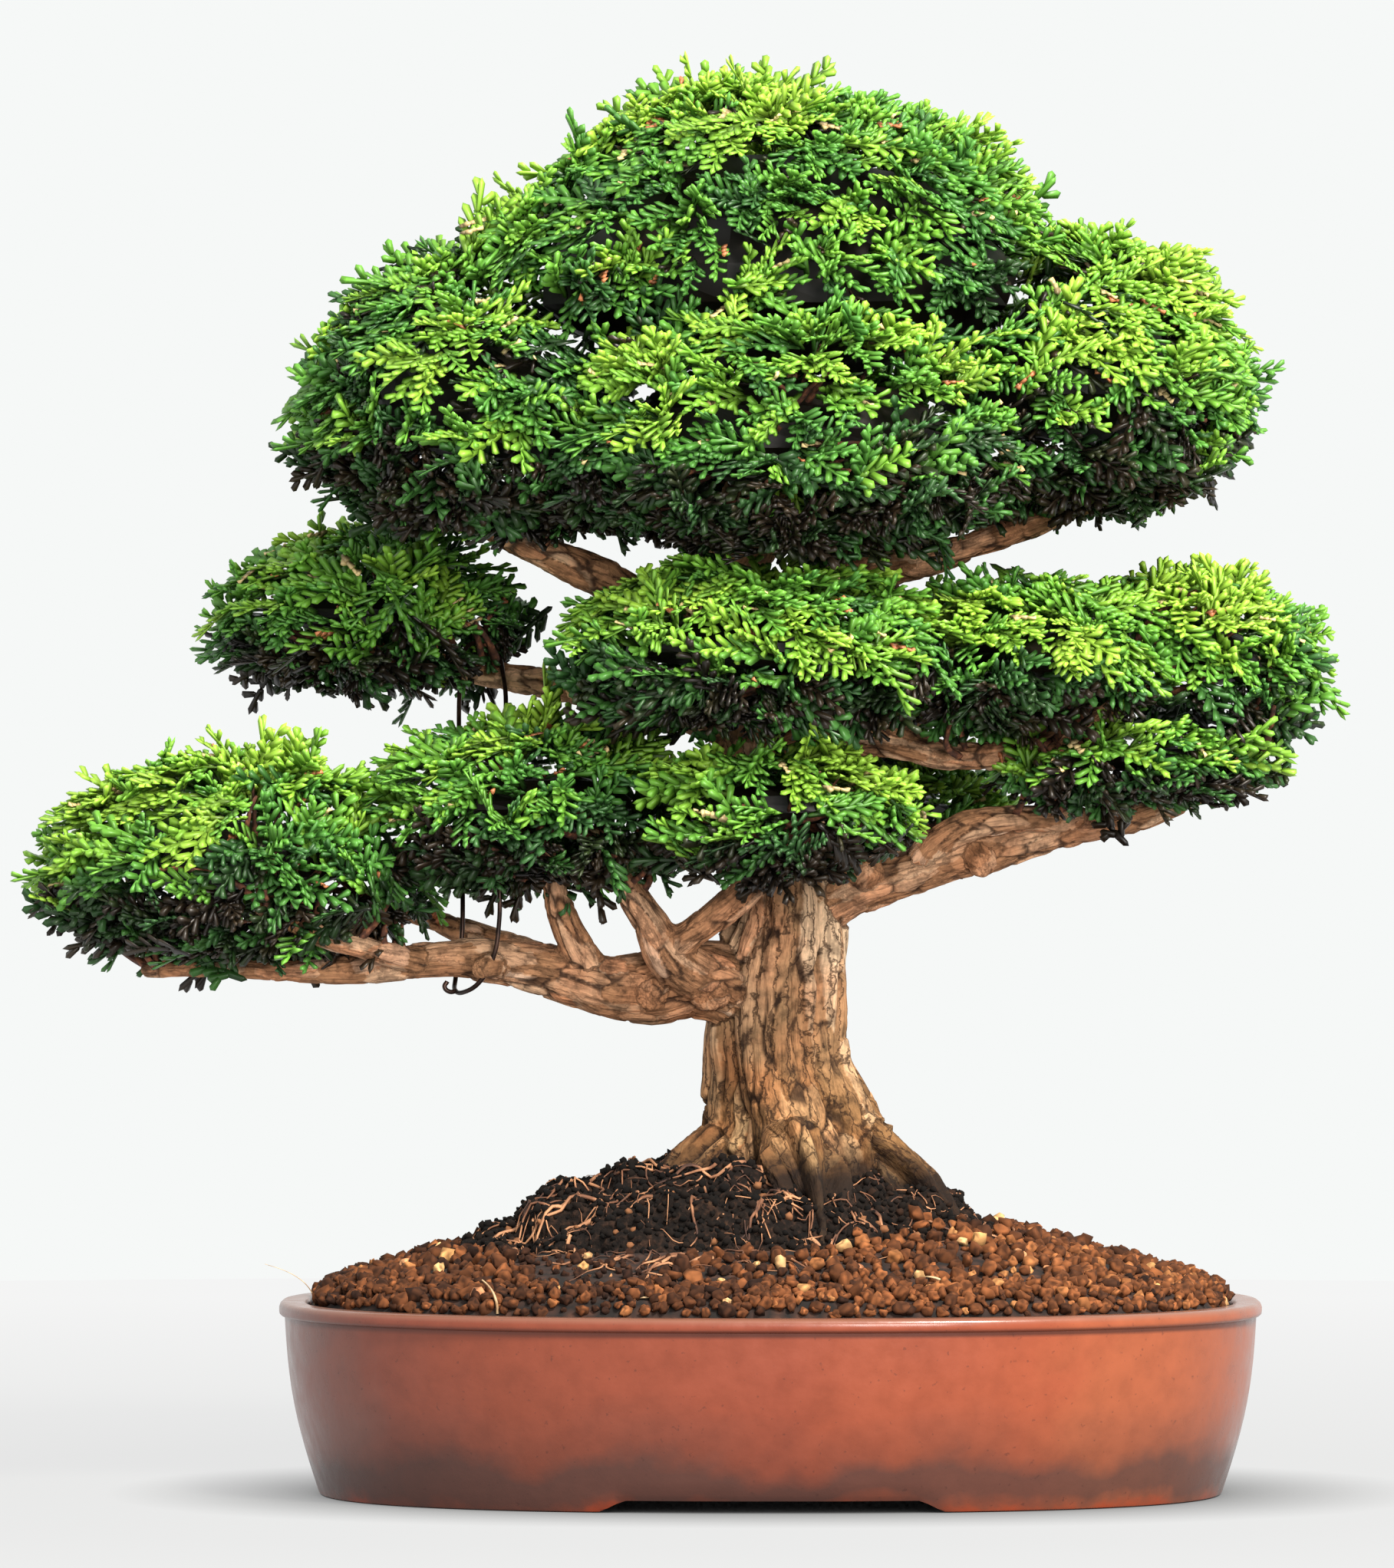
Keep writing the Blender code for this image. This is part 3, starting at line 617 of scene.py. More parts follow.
wood_curve = curve_through("wood_guide", routes, 7, 10)
guide = bpy.data.objects.new("wood_guide", wood_curve)
bpy.context.scene.collection.objects.link(guide)
bpy.context.view_layer.update()
middle = centreline(wood_curve, 8)
bpy.data.objects.remove(guide)
print("centreline samples:", len(middle))

# %% The tubes melted into one body
VOXEL = 0.82 * MM
melted = evaluated("wood_melted", wood_curve, ("REMESH", {"mode": "VOXEL", "voxel_size": VOXEL}))
shape = bmesh.new()
shape.from_mesh(melted)
for _ in range(3):
    bmesh.ops.smooth_vert(shape, verts=shape.verts, factor=0.5, use_axis_x=True, use_axis_y=True, use_axis_z=True)
shape.normal_update()
print("melted wood:", len(shape.verts), "points")

# %% [markdown]
# ## Bark
#
# Old hinoki bark peels in long flat strips, parted by deep dark fissures that run up the trunk,
# and on the branches it breaks into short scales. For every point of the skin, the nearest
# sample of the limbs' middles gives a place in a grain that follows the limb: round it, and
# along it. Stretched cells in that grain make the strips. Their borders are pushed in and each
# strip stands at its own height, so the fissures are real geometry. The same numbers are kept
# as attributes, so that the colours fit the shapes.

# %% Each point's place in the grain
points = np.array([vertex.co for vertex in shape.verts])
nearest = np.empty(len(points), int)
for start in range(0, len(points), 4000):
    gap = points[start : start + 4000, None, :] - middle[None, :, :3]
    nearest[start : start + 4000] = (np.sqrt((gap**2).sum(2)) - middle[:, 3]).argmin(1)
near_rows = middle[nearest]
offset = points - near_rows[:, :3]
grain = np.stack(
    [
        (offset * near_rows[:, 7:10]).sum(1),
        (offset * near_rows[:, 10:13]).sum(1),
        near_rows[:, 13] + (offset * near_rows[:, 4:7]).sum(1),
    ],
    1,
)
print("grain found for", len(grain), "points")

# %% Strips, fissures, ridges and lumps
STRIP_WIDE, STRIP_LONG = 5.2 * MM, 46 * MM
SCALE_WIDE, SCALE_LONG = 4.2 * MM, 11 * MM
LAST_ROOT = 4  # the trunk and its roots come first in the table
FISSURE_DEPTH = 1.6 * MM
strength = np.clip(near_rows[:, 3] / (13 * MM), 0.12, 1)
fissure = np.zeros(len(points))
strip = np.zeros(len(points))
old_bark = (near_rows[:, 14] <= LAST_ROOT).astype(float)
for place, vertex in enumerate(shape.verts):
    limb = int(near_rows[place, 14])
    old = limb <= LAST_ROOT
    wide, long = (STRIP_WIDE, STRIP_LONG) if old else (SCALE_WIDE, SCALE_LONG)
    x, y, run = grain[place]
    waver = noise.noise(Vector((x, y, run)) / (14 * MM)) * 0.30
    at = Vector((x / wide + waver, y / wide - waver, run / long + limb * 3.7))
    reach, cells = noise.voronoi(at)
    border = 1 - smoothstep(0.0, 0.22, reach[1] - reach[0])
    level = noise.cell(cells[0] * 9.1)
    broken = smoothstep(-0.25, 0.25, noise.noise(Vector((x, y, run * 0.6)) / (9 * MM)))
    border *= 0.35 + 0.65 * broken
    lump = noise.noise(vertex.co / (16 * MM)) * 1.6 * MM + noise.noise(vertex.co / (6 * MM)) * 0.5 * MM
    if old:
        turn = math.atan2(y, x)
        above = vertex.co.z - RIM_MIDDLE.z
        flare = 1 - smoothstep(0.035, 0.085, above)
        lump *= 0.7
        lump += (0.0011 + 0.0020 * flare) * math.cos(5 * turn + 2.2 * noise.noise(Vector((0, 0, run / 0.06))))
        lump += 0.0008 * math.cos(11 * turn + 9 * run / 0.1)
    push = lump + (level * 0.8 * MM - border * FISSURE_DEPTH) * (1.0 if old else 0.75)
    vertex.co += vertex.normal * push * (1 if old else 0.35 + 0.65 * strength[place])
    fissure[place] = border
    strip[place] = level
print("mean fissure:", round(float(fissure.mean()), 3))

# %% Cut ends: bare pale wood where a branch was pruned
cut_wood = np.zeros(len(points))
for end in CUT_ENDS:
    cut_wood = np.maximum(cut_wood, np.linalg.norm(points - np.array(end), axis=1) < 3.6 * MM)
bark_mesh = mesh_of("bark", smoothed(shape))
shares = {"fissure": fissure, "strip": strip, "cut_wood": cut_wood, "old_bark": old_bark}
for title, values in shares.items():
    layer = bark_mesh.attributes.new(title, "FLOAT", "POINT")
    layer.data.foreach_set("value", values.astype(np.float32))
grain_layer = bark_mesh.attributes.new("grain", "FLOAT_VECTOR", "POINT")
grain_layer.data.foreach_set("vector", grain.astype(np.float32).ravel())
WOOD_TRIANGLES = 165000
count = sum(len(polygon.vertices) - 2 for polygon in bark_mesh.polygons)
thin = ("DECIMATE", {"ratio": min(1.0, WOOD_TRIANGLES / count)})
wood_mesh = evaluated("wood", bark_mesh, thin)
wood_mesh.shade_smooth()
print("wood:", count, "triangles before thinning")

# %% [markdown]
# ## The bark's colours
#
# Weathered outer bark is grey buff, and where a strip has peeled the fresh bark under it is
# pink to orange. Fissures are painted near black brown, as painted shade in their recesses. Low
# on the trunk there is a greenish film of algae, and the last centimetre is stained black by wet
# soil. Bark is dry and rough, so it has no shine. Fibres about 0.7 mm wide run along the grain.

# %% Bark
bark, tree, surface = new_material("peeling_hinoki_bark", {"Roughness": 0.88, "IOR": 1.45})
surface.inputs["Specular IOR Level"].default_value = 0.25
coords = node(tree, "ShaderNodeTexCoord")
grain_at = node(tree, "ShaderNodeAttribute", attribute_name="grain")
strip_at = node(tree, "ShaderNodeAttribute", attribute_name="strip")
fissure_at = node(tree, "ShaderNodeAttribute", attribute_name="fissure")
cut_at = node(tree, "ShaderNodeAttribute", attribute_name="cut_wood")
stretch = node(
    tree,
    "ShaderNodeMapping",
    {"Vector": grain_at.outputs["Vector"], "Scale": (1 / (0.9 * MM), 1 / (0.9 * MM), 1 / (11 * MM))},
)
fibre = node(tree, "ShaderNodeTexNoise", {"Vector": stretch.outputs[0], "Scale": 1.0, "Detail": 5})
patches = node(
    tree,
    "ShaderNodeTexNoise",
    {"Vector": coords.outputs["Object"], "Scale": 1 / (22 * MM), "Detail": 6},
)
# Each strip's colour follows its own height: random tones, and the raised strips are painted lighter, as a painted
# highlight.
strips = node(
    tree,
    "ShaderNodeValToRGB",
    {0: strip_at.outputs["Fac"]},
    stops=((0.0, "#AA8762"), (0.3, "#D9AF88"), (0.6, "#F0CFA9"), (0.85, "#E0A377"), (1.0, "#F8DDBE")),
)
peeled = node(
    tree, "ShaderNodeValToRGB", {0: patches.outputs[0]}, stops=((0.46, 0.0), (0.66, 0.6))
)
fresh = mixed(tree, peeled.outputs[0], strips.outputs[0], linear("#E6A174"))
flakes = node(
    tree,
    "ShaderNodeTexNoise",
    {"Vector": grain_at.outputs["Vector"], "Scale": 1 / (5 * MM), "Detail": 8, "Roughness": 0.65},
)
old_at = node(tree, "ShaderNodeAttribute", attribute_name="old_bark")
redder = node(
    tree, "ShaderNodeMapRange", {0: old_at.outputs["Fac"], 1: 0.0, 2: 1.0, 3: 0.40, 4: 0.12}
)
fresh = mixed(tree, redder.outputs[0], fresh, linear("#B4714E"))
flake_shade = node(
    tree, "ShaderNodeValToRGB", {0: flakes.outputs[0]}, stops=((0.36, 0.42), (0.5, 0.9), (0.66, 1.25))
)
fresh = mixed(tree, 1.0, fresh, flake_shade.outputs[0], "MULTIPLY")
wavering = node(
    tree,
    "ShaderNodeMix",
    {0: 0.35, 6: grain_at.outputs["Vector"], 7: flakes.outputs["Color"]},
    data_type="RGBA",
)
wavering.blend_type = "LINEAR_LIGHT"
wavering.inputs[0].default_value = 0.0030
crack_space = node(
    tree,
    "ShaderNodeMapping",
    {"Vector": wavering.outputs[2], "Scale": (1 / (4.0 * MM), 1 / (4.0 * MM), 1 / (26 * MM))},
)
crack_lines = node(
    tree,
    "ShaderNodeTexVoronoi",
    {"Vector": crack_space.outputs[0], "Scale": 1.0},
    feature="DISTANCE_TO_EDGE",
)
crack_mask = node(
    tree,
    "ShaderNodeValToRGB",
    {0: crack_lines.outputs["Distance"]},
    stops=((0.02, 0.85), (0.07, 0.0)),
)
cracking = node(
    tree,
    "ShaderNodeMapRange",
    {0: old_at.outputs["Fac"], 1: 0.0, 2: 1.0, 3: 0.5, 4: 0.95},
)
crack_share = node(
    tree, "ShaderNodeMath", {0: crack_mask.outputs[0], 1: cracking.outputs[0]}, operation="MULTIPLY"
)
fresh = mixed(tree, crack_share.outputs[0], fresh, linear("#3A261B"))
fibre_shade = node(
    tree, "ShaderNodeValToRGB", {0: fibre.outputs[0]}, stops=((0.30, 0.45), (0.48, 0.92), (0.7, 1.15))
)
fibred = mixed(tree, 1.0, fresh, fibre_shade.outputs[0], "MULTIPLY")
# The fissures are painted dark brown: painted shade in the recesses.
dark = node(
    tree, "ShaderNodeValToRGB", {0: fissure_at.outputs["Fac"]}, stops=((0.35, 0.0), (0.9, 0.85))
)
fissures_painted_dark = mixed(tree, dark.outputs[0], fibred, linear("#2A1B14"))
print("bark: strips and fissures")

# %% Algae, wet soil and cut ends
axes = node(tree, "ShaderNodeSeparateXYZ", {0: coords.outputs["Object"]})
wander = node(
    tree,
    "ShaderNodeMath",
    {0: patches.outputs[0], 1: -0.030, 2: axes.outputs["Z"]},
    operation="MULTIPLY_ADD",
)
low = node(
    tree,
    "ShaderNodeMapRange",
    {"Value": wander.outputs[0], "From Min": RIM_MIDDLE.z + 0.020, "From Max": RIM_MIDDLE.z + 0.080},
)
algae = node(
    tree, "ShaderNodeValToRGB", {0: low.outputs[0]}, stops=((0.0, 0.85), (0.45, 0.7), (1.0, 0.0))
)
green = mixed(tree, algae.outputs[0], fissures_painted_dark, linear("#9A8A62"), "MULTIPLY")
stain = node(
    tree, "ShaderNodeValToRGB", {0: low.outputs[0]}, stops=((0.02, 0.94), (0.13, 0.5), (0.22, 0.0))
)
stained = mixed(tree, stain.outputs[0], green, linear("#19110D"))
ends = mixed(tree, cut_at.outputs["Fac"], stained, linear("#D9A878"))
tree.links.new(ends, surface.inputs["Base Color"])
bump = node(
    tree, "ShaderNodeBump", {"Strength": 0.9, "Distance": 0.0011, "Height": fibre.outputs[0]}
)
tree.links.new(bump.outputs[0], surface.inputs["Normal"])
piece_of("bark_wood", wood_mesh, bark, "bark_wood", "trunk_and_branches")

# %% [markdown]
# ## The old root ball
#
# Round the trunk the tree keeps its old root ball, a dome of nearly black soil and matted fine
# roots. It is built as stacked ovals like the solid model's, refined and roughened with noise,
# and covered with crumbs and thin tan roots.

# %% The dome
ball_low, ball_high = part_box("root_ball")
ball_middle = (ball_low + ball_high) / 2
BALL_PROFILE = ((0.62, 0), (0.86, 0.22), (0.98, 0.5), (0.95, 0.68), (0.74, 0.85), (0.46, 0.96), (0.26, 1))
ball_half_x = (ball_high.x - ball_low.x) / 2 / 0.98
ball_half_y = (ball_high.y - ball_low.y) / 2 / 0.98
ball_tall = ball_high.z - ball_low.z
shape = bmesh.new()
bmesh.ops.create_circle(shape, cap_ends=True, segments=48, radius=1.0)
verts, ring = list(shape.verts), list(shape.edges)
wide, level = 1.0, 0.0
for share, up in BALL_PROFILE:
    bmesh.ops.scale(shape, vec=(share / wide, share / wide, 1), verts=verts)
    bmesh.ops.translate(shape, vec=(0, 0, up - level), verts=verts)
    wide, level = share, up
    if up < 1:
        pushed = bmesh.ops.extrude_edge_only(shape, edges=ring)["geom"]
        ring = [item for item in pushed if isinstance(item, bmesh.types.BMEdge)]
        verts = [item for item in pushed if isinstance(item, bmesh.types.BMVert)]
bmesh.ops.contextual_create(shape, geom=ring)
bmesh.ops.recalc_face_normals(shape, faces=shape.faces)
bmesh.ops.scale(shape, vec=(ball_half_x, ball_half_y, ball_tall), verts=shape.verts)
bmesh.ops.translate(shape, vec=(ball_middle.x, ball_middle.y, ball_low.z), verts=shape.verts)
BALL_VOXEL = 1.5 * MM
fine = evaluated("dome", mesh_of("dome", shape), ("REMESH", {"mode": "VOXEL", "voxel_size": BALL_VOXEL}))
shape = bmesh.new()
shape.from_mesh(fine)
for _ in range(4):
    bmesh.ops.smooth_vert(shape, verts=shape.verts, factor=0.5, use_axis_x=True, use_axis_y=True, use_axis_z=True)
shape.normal_update()
for vertex in shape.verts:
    rough = noise.turbulence(vertex.co / (11 * MM), 4, False) - 0.45
    vertex.co += vertex.normal * rough * 5.0 * MM
dome_mesh = mesh_of("root_dome", smoothed(shape))
print("dome:", len(dome_mesh.polygons), "faces")

# %% Matted soil
matted, tree, surface = new_material("matted_old_soil", {"Roughness": 0.95})
surface.inputs["Specular IOR Level"].default_value = 0.2
coords = node(tree, "ShaderNodeTexCoord")
crumbly = node(
    tree,
    "ShaderNodeTexNoise",
    {"Vector": coords.outputs["Object"], "Scale": 1 / (2.2 * MM), "Detail": 6},
)
soil_shade = node(
    tree,
    "ShaderNodeValToRGB",
    {0: crumbly.outputs[0]},
    stops=((0.3, "#0A0706"), (0.5, "#17100C"), (0.66, "#2E1F17"), (0.8, "#48321F")),
)
tree.links.new(soil_shade.outputs[0], surface.inputs["Base Color"])
bump = node(
    tree, "ShaderNodeBump", {"Strength": 1.0, "Distance": 0.0015, "Height": crumbly.outputs[0]}
)
tree.links.new(bump.outputs[0], surface.inputs["Normal"])
piece_of("root_dome", dome_mesh, matted, "root_mat", "root_ball")

# %% [markdown]
# ## Small repeated things
#
# Grit, crumbs and leaves each repeat one of a few patterns thousands of times. A pattern is a
# small mesh. Each copy is turned, sized and put in place, then added to its piece. Its UV map
# is a colour card: across is a shade within the copy, and up is which colour of the card it
# takes. One material then paints thousands of copies, each a little different.

# %% Copies with their own colour
CARD = 24  # rows on a colour card


def add_copy(shape, pattern, place, row):
    """Adds a placed copy of a pattern, painted with this row of the colour card."""
    copy = pattern.copy()
    copy.transform(place)
    uvs = copy.uv_layers["OFBake"].uv
    values = np.empty(len(uvs) * 2, np.float32)
    uvs.foreach_get("vector", values)
    values[1::2] = (row + 0.1 + 0.8 * values[1::2]) / CARD
    uvs.foreach_set("vector", values)
    shape.from_mesh(copy)
    bpy.data.meshes.remove(copy)


def shade_faces(shape, shade):
    """Gives every face corner a place on the card from its point: shade(point) gives two shares."""
    layer = shape.loops.layers.uv.verify()
    for face in shape.faces:
        face.smooth = True
        for loop in face.loops:
            loop[layer].uv = shade(loop.vert)


def pattern_of(name, shape):
    mesh = mesh_of(name, shape)
    mesh.uv_layers[0].name = "OFBake"
    return mesh


def card_material(name, values, rows, shades):
    """A material that reads the card: row colours from low to high, and a shade across."""
    made, tree, surface = new_material(name, values)
    card = node(tree, "ShaderNodeUVMap", uv_map="OFBake")
    sides = node(tree, "ShaderNodeSeparateXYZ", {0: card.outputs[0]})
    row = node(tree, "ShaderNodeValToRGB", {0: sides.outputs["Y"]}, stops=rows)
    shade = node(tree, "ShaderNodeValToRGB", {0: sides.outputs["X"]}, stops=shades)
    painted = mixed(tree, 1.0, row.outputs[0], shade.outputs[0], "MULTIPLY")
    tree.links.new(painted, surface.inputs["Base Color"])
    return made


def random_turn(dice):
    way = Vector((dice.gauss(0, 1), dice.gauss(0, 1), dice.gauss(0, 1))).normalized()
    return Matrix.Rotation(dice.uniform(0, 2 * math.pi), 4, way)


# %% Grit patterns: lumps with a few worn flat sides
def grain_pattern(name, seed, facets, subdivisions):
    dice = random.Random(seed)
    shape = bmesh.new()
    bmesh.ops.create_icosphere(shape, subdivisions=subdivisions, radius=0.5)
    shift = Vector((seed * 3.1, seed * 1.7, 0))
    for vertex in shape.verts:
        vertex.co *= 1 + 0.62 * noise.noise(vertex.co * 3.4 + shift)
    for _ in range(facets):
        way = Vector((dice.gauss(0, 1), dice.gauss(0, 1), dice.gauss(0, 1))).normalized()
        reach = dice.uniform(0.30, 0.40)
        for vertex in shape.verts:
            over = vertex.co.dot(way) - reach
            if over > 0:
                vertex.co -= way * over
    bmesh.ops.scale(shape, vec=(1, dice.uniform(0.75, 1), dice.uniform(0.65, 0.9)), verts=shape.verts)
    shade_faces(shape, lambda vert: (min(max(0.5 + noise.noise(vert.co * 5 + shift), 0), 1), 0.5))
    return pattern_of(name, shape)


grains = [grain_pattern("grain", seed, 5, 2) for seed in range(1, 9)]
crumbs = [grain_pattern("crumb", seed, 2, 1) for seed in range(11, 16)]
print(len(grains), "grains of", len(grains[0].polygons), "faces")

# %% [markdown]
# ## Akadama grit
#
# The rest of the pot is topped with akadama: baked clay sieved to grains of 3 to 6 mm, dull
# red brown in random tones, darker on the left half than on the right. The grains are dropped
# straight down on to the soil of the solid model, each at least a grain's width from the last,
# and pressed a little into it. The solid itself stays as the grit between and under them,
# painted dark as their shade, each cell darker towards its edge.

# %% Where a falling grain lands
graph = bpy.context.evaluated_depsgraph_get()
soil_tree = BVHTree.FromObject(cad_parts["soil_grit"], graph)
dome_points = [vertex.co.copy() for vertex in dome_mesh.vertices]
dome_tree = BVHTree.FromPolygons(dome_points, [list(face.vertices) for face in dome_mesh.polygons])
wood_points = [vertex.co.copy() for vertex in wood_mesh.vertices]
wood_tree = BVHTree.FromPolygons(wood_points, [list(face.vertices) for face in wood_mesh.polygons])


def landing(x, y, *surfaces):
    """The highest hit of a ray straight down, as a place, the slope's normal and which surface."""
    best = None
    for number, surface in enumerate(surfaces):
        hit, normal, _, _ = surface.ray_cast(Vector((x, y, RIM_MIDDLE.z + 0.060)), Vector((0, 0, -1)))
        if hit and (best is None or hit.z > best[0].z):
            best = (hit, normal if normal.z > 0 else -normal, number)
    return best


def in_oval(x, y, half_x, half_y):
    return (abs(x / half_x) ** OVAL_POWER + abs(y / half_y) ** OVAL_POWER) < 1


class Spacing:
    """Remembers places, and says whether a new one is clear of them all."""

    def __init__(self, gap):
        self.gap, self.cells = gap, {}

    def take(self, place):
        key = tuple(int(math.floor(value / self.gap)) for value in place)
        for dx in (-1, 0, 1):
            for dy in (-1, 0, 1):
                for dz in (-1, 0, 1):
                    for other in self.cells.get((key[0] + dx, key[1] + dy, key[2] + dz), ()):
                        if (other - place).length < self.gap:
                            return False
        self.cells.setdefault(key, []).append(place)
        return True


# %% Dropping the grains
SOIL_HALF_X, SOIL_HALF_Y = HALF_X - LIP_WIDTH, HALF_Y - LIP_WIDTH
dice = random.Random(5)
halves = {"left": bmesh.new(), "right": bmesh.new()}
spacing = Spacing(3.1 * MM)
dropped = 0
for _ in range(26000):
    x, y = dice.uniform(-1, 1) * SOIL_HALF_X, dice.uniform(-1, 1) * SOIL_HALF_Y
    if not in_oval(x, y, SOIL_HALF_X - 2 * MM, SOIL_HALF_Y - 2 * MM):
        continue
    hit = landing(POT_MIDDLE.x + x, POT_MIDDLE.y + y, soil_tree, dome_tree)
    if hit is None:
        continue
    place, normal, number = hit
    from_ball = math.hypot((x + 0.008) / 0.086, y / 0.066)
    spill = noise.noise(Vector((x, y, 3)) / (22 * MM)) * 0.16 + 0.14 * smoothstep(0, 0.04, x) - 0.03
    if from_ball < 1.0 - spill or not spacing.take(place):
        continue
    matted = y < 0 and math.exp(-(((x + 0.052) / 0.034) ** 2)) * 1.55 > from_ball * 0.92
    size = min(max(dice.gauss(4.4, 1.1), 2.6), 6.8) * MM * (0.62 if matted else 1)
    left = x < 0
    # Grains on the left half take darker rows than those on the right.
    tone = dice.gauss(7.5 if left else 10.5, 4.2)
    row = int(min(max(tone, 0), 19))
    if dice.random() < 0.03:
        row = dice.choice((19, 20, 21, 22, 23))
    elif matted and dice.random() < 0.85:
        row = dice.choice((0, 0, 1, 2, 4))
    lift = dice.uniform(0.05, 0.42) * size
    turn = random_turn(dice)
    at = Matrix.Translation(place + Vector((0, 0, lift))) @ turn @ Matrix.Scale(size, 4)
    add_copy(halves["left" if left else "right"], dice.choice(grains), at, row)
    dropped += 1
edge_spacing = Spacing(2.7 * MM)
for _ in range(9000):
    turn, share = dice.uniform(0, 2 * math.pi), dice.uniform(0.86, 0.985)
    x, y = SOIL_HALF_X * share * math.cos(turn), SOIL_HALF_Y * share * math.sin(turn)
    stretch = (abs(math.cos(turn)) ** OVAL_POWER + abs(math.sin(turn)) ** OVAL_POWER) ** (-1 / OVAL_POWER)
    x, y = x * stretch, y * stretch
    hit = landing(POT_MIDDLE.x + x, POT_MIDDLE.y + y, soil_tree)
    if hit is None or not edge_spacing.take(hit[0]):
        continue
    size = dice.uniform(2.4, 4.6) * MM
    row = int(min(max(dice.gauss(8 if x < 0 else 11, 4), 0), 20))
    at = Matrix.Translation(hit[0] + Vector((0, 0, 0.45 * size))) @ random_turn(dice)
    add_copy(halves["left" if x < 0 else "right"], dice.choice(grains), at @ Matrix.Scale(size, 4), row)
    dropped += 1
print("grains:", dropped)

# %% Baked clay
akadama = card_material(
    "akadama_baked_clay",
    {"Roughness": 0.92, "IOR": 1.45, "Specular IOR Level": 0.25},
    rows=(
        (0.0, "#24140D"),
        (0.20, "#452817"),
        (0.42, "#62391F"),
        (0.62, "#804C2B"),
        (0.80, "#A26A3E"),
        (0.86, "#C4925C"),
        (0.92, "#D8AE78"),
        (1.0, "#B5694A"),
    ),
    shades=((0.15, 0.42), (0.5, 0.92), (0.85, 1.4)),
)
for side, shape in halves.items():
    piece_of("grit_" + side, mesh_of("grit_" + side, shape), akadama, "akadama")

# %% The imported grit below them
# The solid's grit is painted dark, as the shade between and under the grains, and each cell is darker towards its
# edge, as painted shade in the crevices.
packed, tree, surface = new_material("packed_akadama", {"Roughness": 0.95})
coords = node(tree, "ShaderNodeTexCoord")
cells = node(
    tree,
    "ShaderNodeTexVoronoi",
    {"Vector": coords.outputs["Object"], "Scale": 1 / (4 * MM)},
)
packed_shade = node(
    tree,
    "ShaderNodeValToRGB",
    {0: cells.outputs["Distance"]},
    stops=((0.0, "#4A2D1F"), (0.35, "#2C1A12"), (0.7, "#0F0906")),
)
tree.links.new(packed_shade.outputs[0], surface.inputs["Base Color"])
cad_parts["soil_grit"].data.materials.clear()
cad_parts["soil_grit"].data.materials.append(packed)

# %% Crumbs of old soil on the dome
shape = bmesh.new()
spacing = Spacing(1.7 * MM)
count = 0
for _ in range(15000):
    x = ball_middle.x + dice.uniform(-1, 1) * ball_half_x
    y = ball_middle.y + dice.uniform(-1, 1) * ball_half_y
    hit = landing(x, y, soil_tree, dome_tree)
    if hit is None or hit[2] != 1 or not spacing.take(hit[0]):
        continue
    size = dice.uniform(1.2, 3.4) * MM
    right = smoothstep(-0.02, 0.06, x - POT_MIDDLE.x)
    row = int(min(max(dice.gauss(3 + 3 * right, 2.6), 0), 15))
    if dice.random() < 0.02:
        row = 20
    at = Matrix.Translation(hit[0] + Vector((0, 0, size * 0.2))) @ random_turn(dice)
    add_copy(shape, dice.choice(crumbs), at @ Matrix.Scale(size, 4), row)
    count += 1
old_soil = card_material(
    "crumbled_old_soil",
    {"Roughness": 0.95, "Specular IOR Level": 0.2},
    rows=((0.0, "#080605"), (0.3, "#19110C"), (0.6, "#382317"), (0.8, "#6E4229"), (1.0, "#B98A60")),
    shades=((0.0, 0.6), (1.0, 1.15)),
)
piece_of("soil_crumbs", mesh_of("soil_crumbs", shape), old_soil, "root_mat")
print("crumbs:", count)

# %% [markdown]
# ## Roots and litter
#
# Thin tan roots lie over the dome, mostly on its left side, where rain has washed them bare.
# Each is a curve that wanders over the surface and dips in and out of it. A few dry leaf
# bits, a pale straw and a hair-thin stalk lie in the grit.


# %% Wandering roots
def wandering(start, heading, length, radius, dice, turn=0.5, hug=0.5):
    """Points of a thin root over the ground, as x, y, height above the rim and radius."""
    points, at, steps = [], Vector(start), max(4, int(length / (3.5 * MM)))
    for step in range(steps + 1):
        hit = landing(at.x, at.y, soil_tree, dome_tree)
        ground = hit[0].z if hit else at.z
        up = ground + radius * hug + abs(noise.noise(at / (7 * MM))) * 3.0 * MM
        share = step / steps
        thin = radius * (1 - 0.65 * share)
        points.append((at.x - RIM_MIDDLE.x, at.y - RIM_MIDDLE.y, up - RIM_MIDDLE.z, thin))
        heading += dice.gauss(0, turn)
        at = at + Vector((math.cos(heading), math.sin(heading), 0)) * (length / steps)
    return points


dice = random.Random(8)
roots = []
for number in range(420):
    turn = dice.uniform(0, 2 * math.pi)
    reach = dice.uniform(0.30, 0.98)
    if math.cos(turn) < 0.3 and math.sin(turn) < 0:
        reach *= 1.28
    x = ball_middle.x + 0.012 + math.cos(turn) * reach * ball_half_x * 0.9
    y = ball_middle.y + math.sin(turn) * reach * ball_half_y * 0.9
    if x > POT_MIDDLE.x + 0.01 and dice.random() < 0.6:
        continue
    away = math.atan2(y - ball_middle.y, x - ball_middle.x)
    long = dice.uniform(9, 30) * MM
    thick = dice.choice((0.22, 0.28, 0.34, 0.45, 0.7)) * MM
    roots.append(wandering((x, y, 0), away + dice.gauss(0, 0.8), long, thick, dice))
root_curve = curve_through("roots", roots, 0, 2)
root_mesh = evaluated("roots", root_curve)
root_mesh.shade_smooth()
root_skin, tree, surface = new_material("dry_root_skin", {"Roughness": 0.8})
coords = node(tree, "ShaderNodeTexCoord")
bits = node(
    tree,
    "ShaderNodeTexNoise",
    {"Vector": coords.outputs["Object"], "Scale": 1 / (9 * MM), "Detail": 3},
)
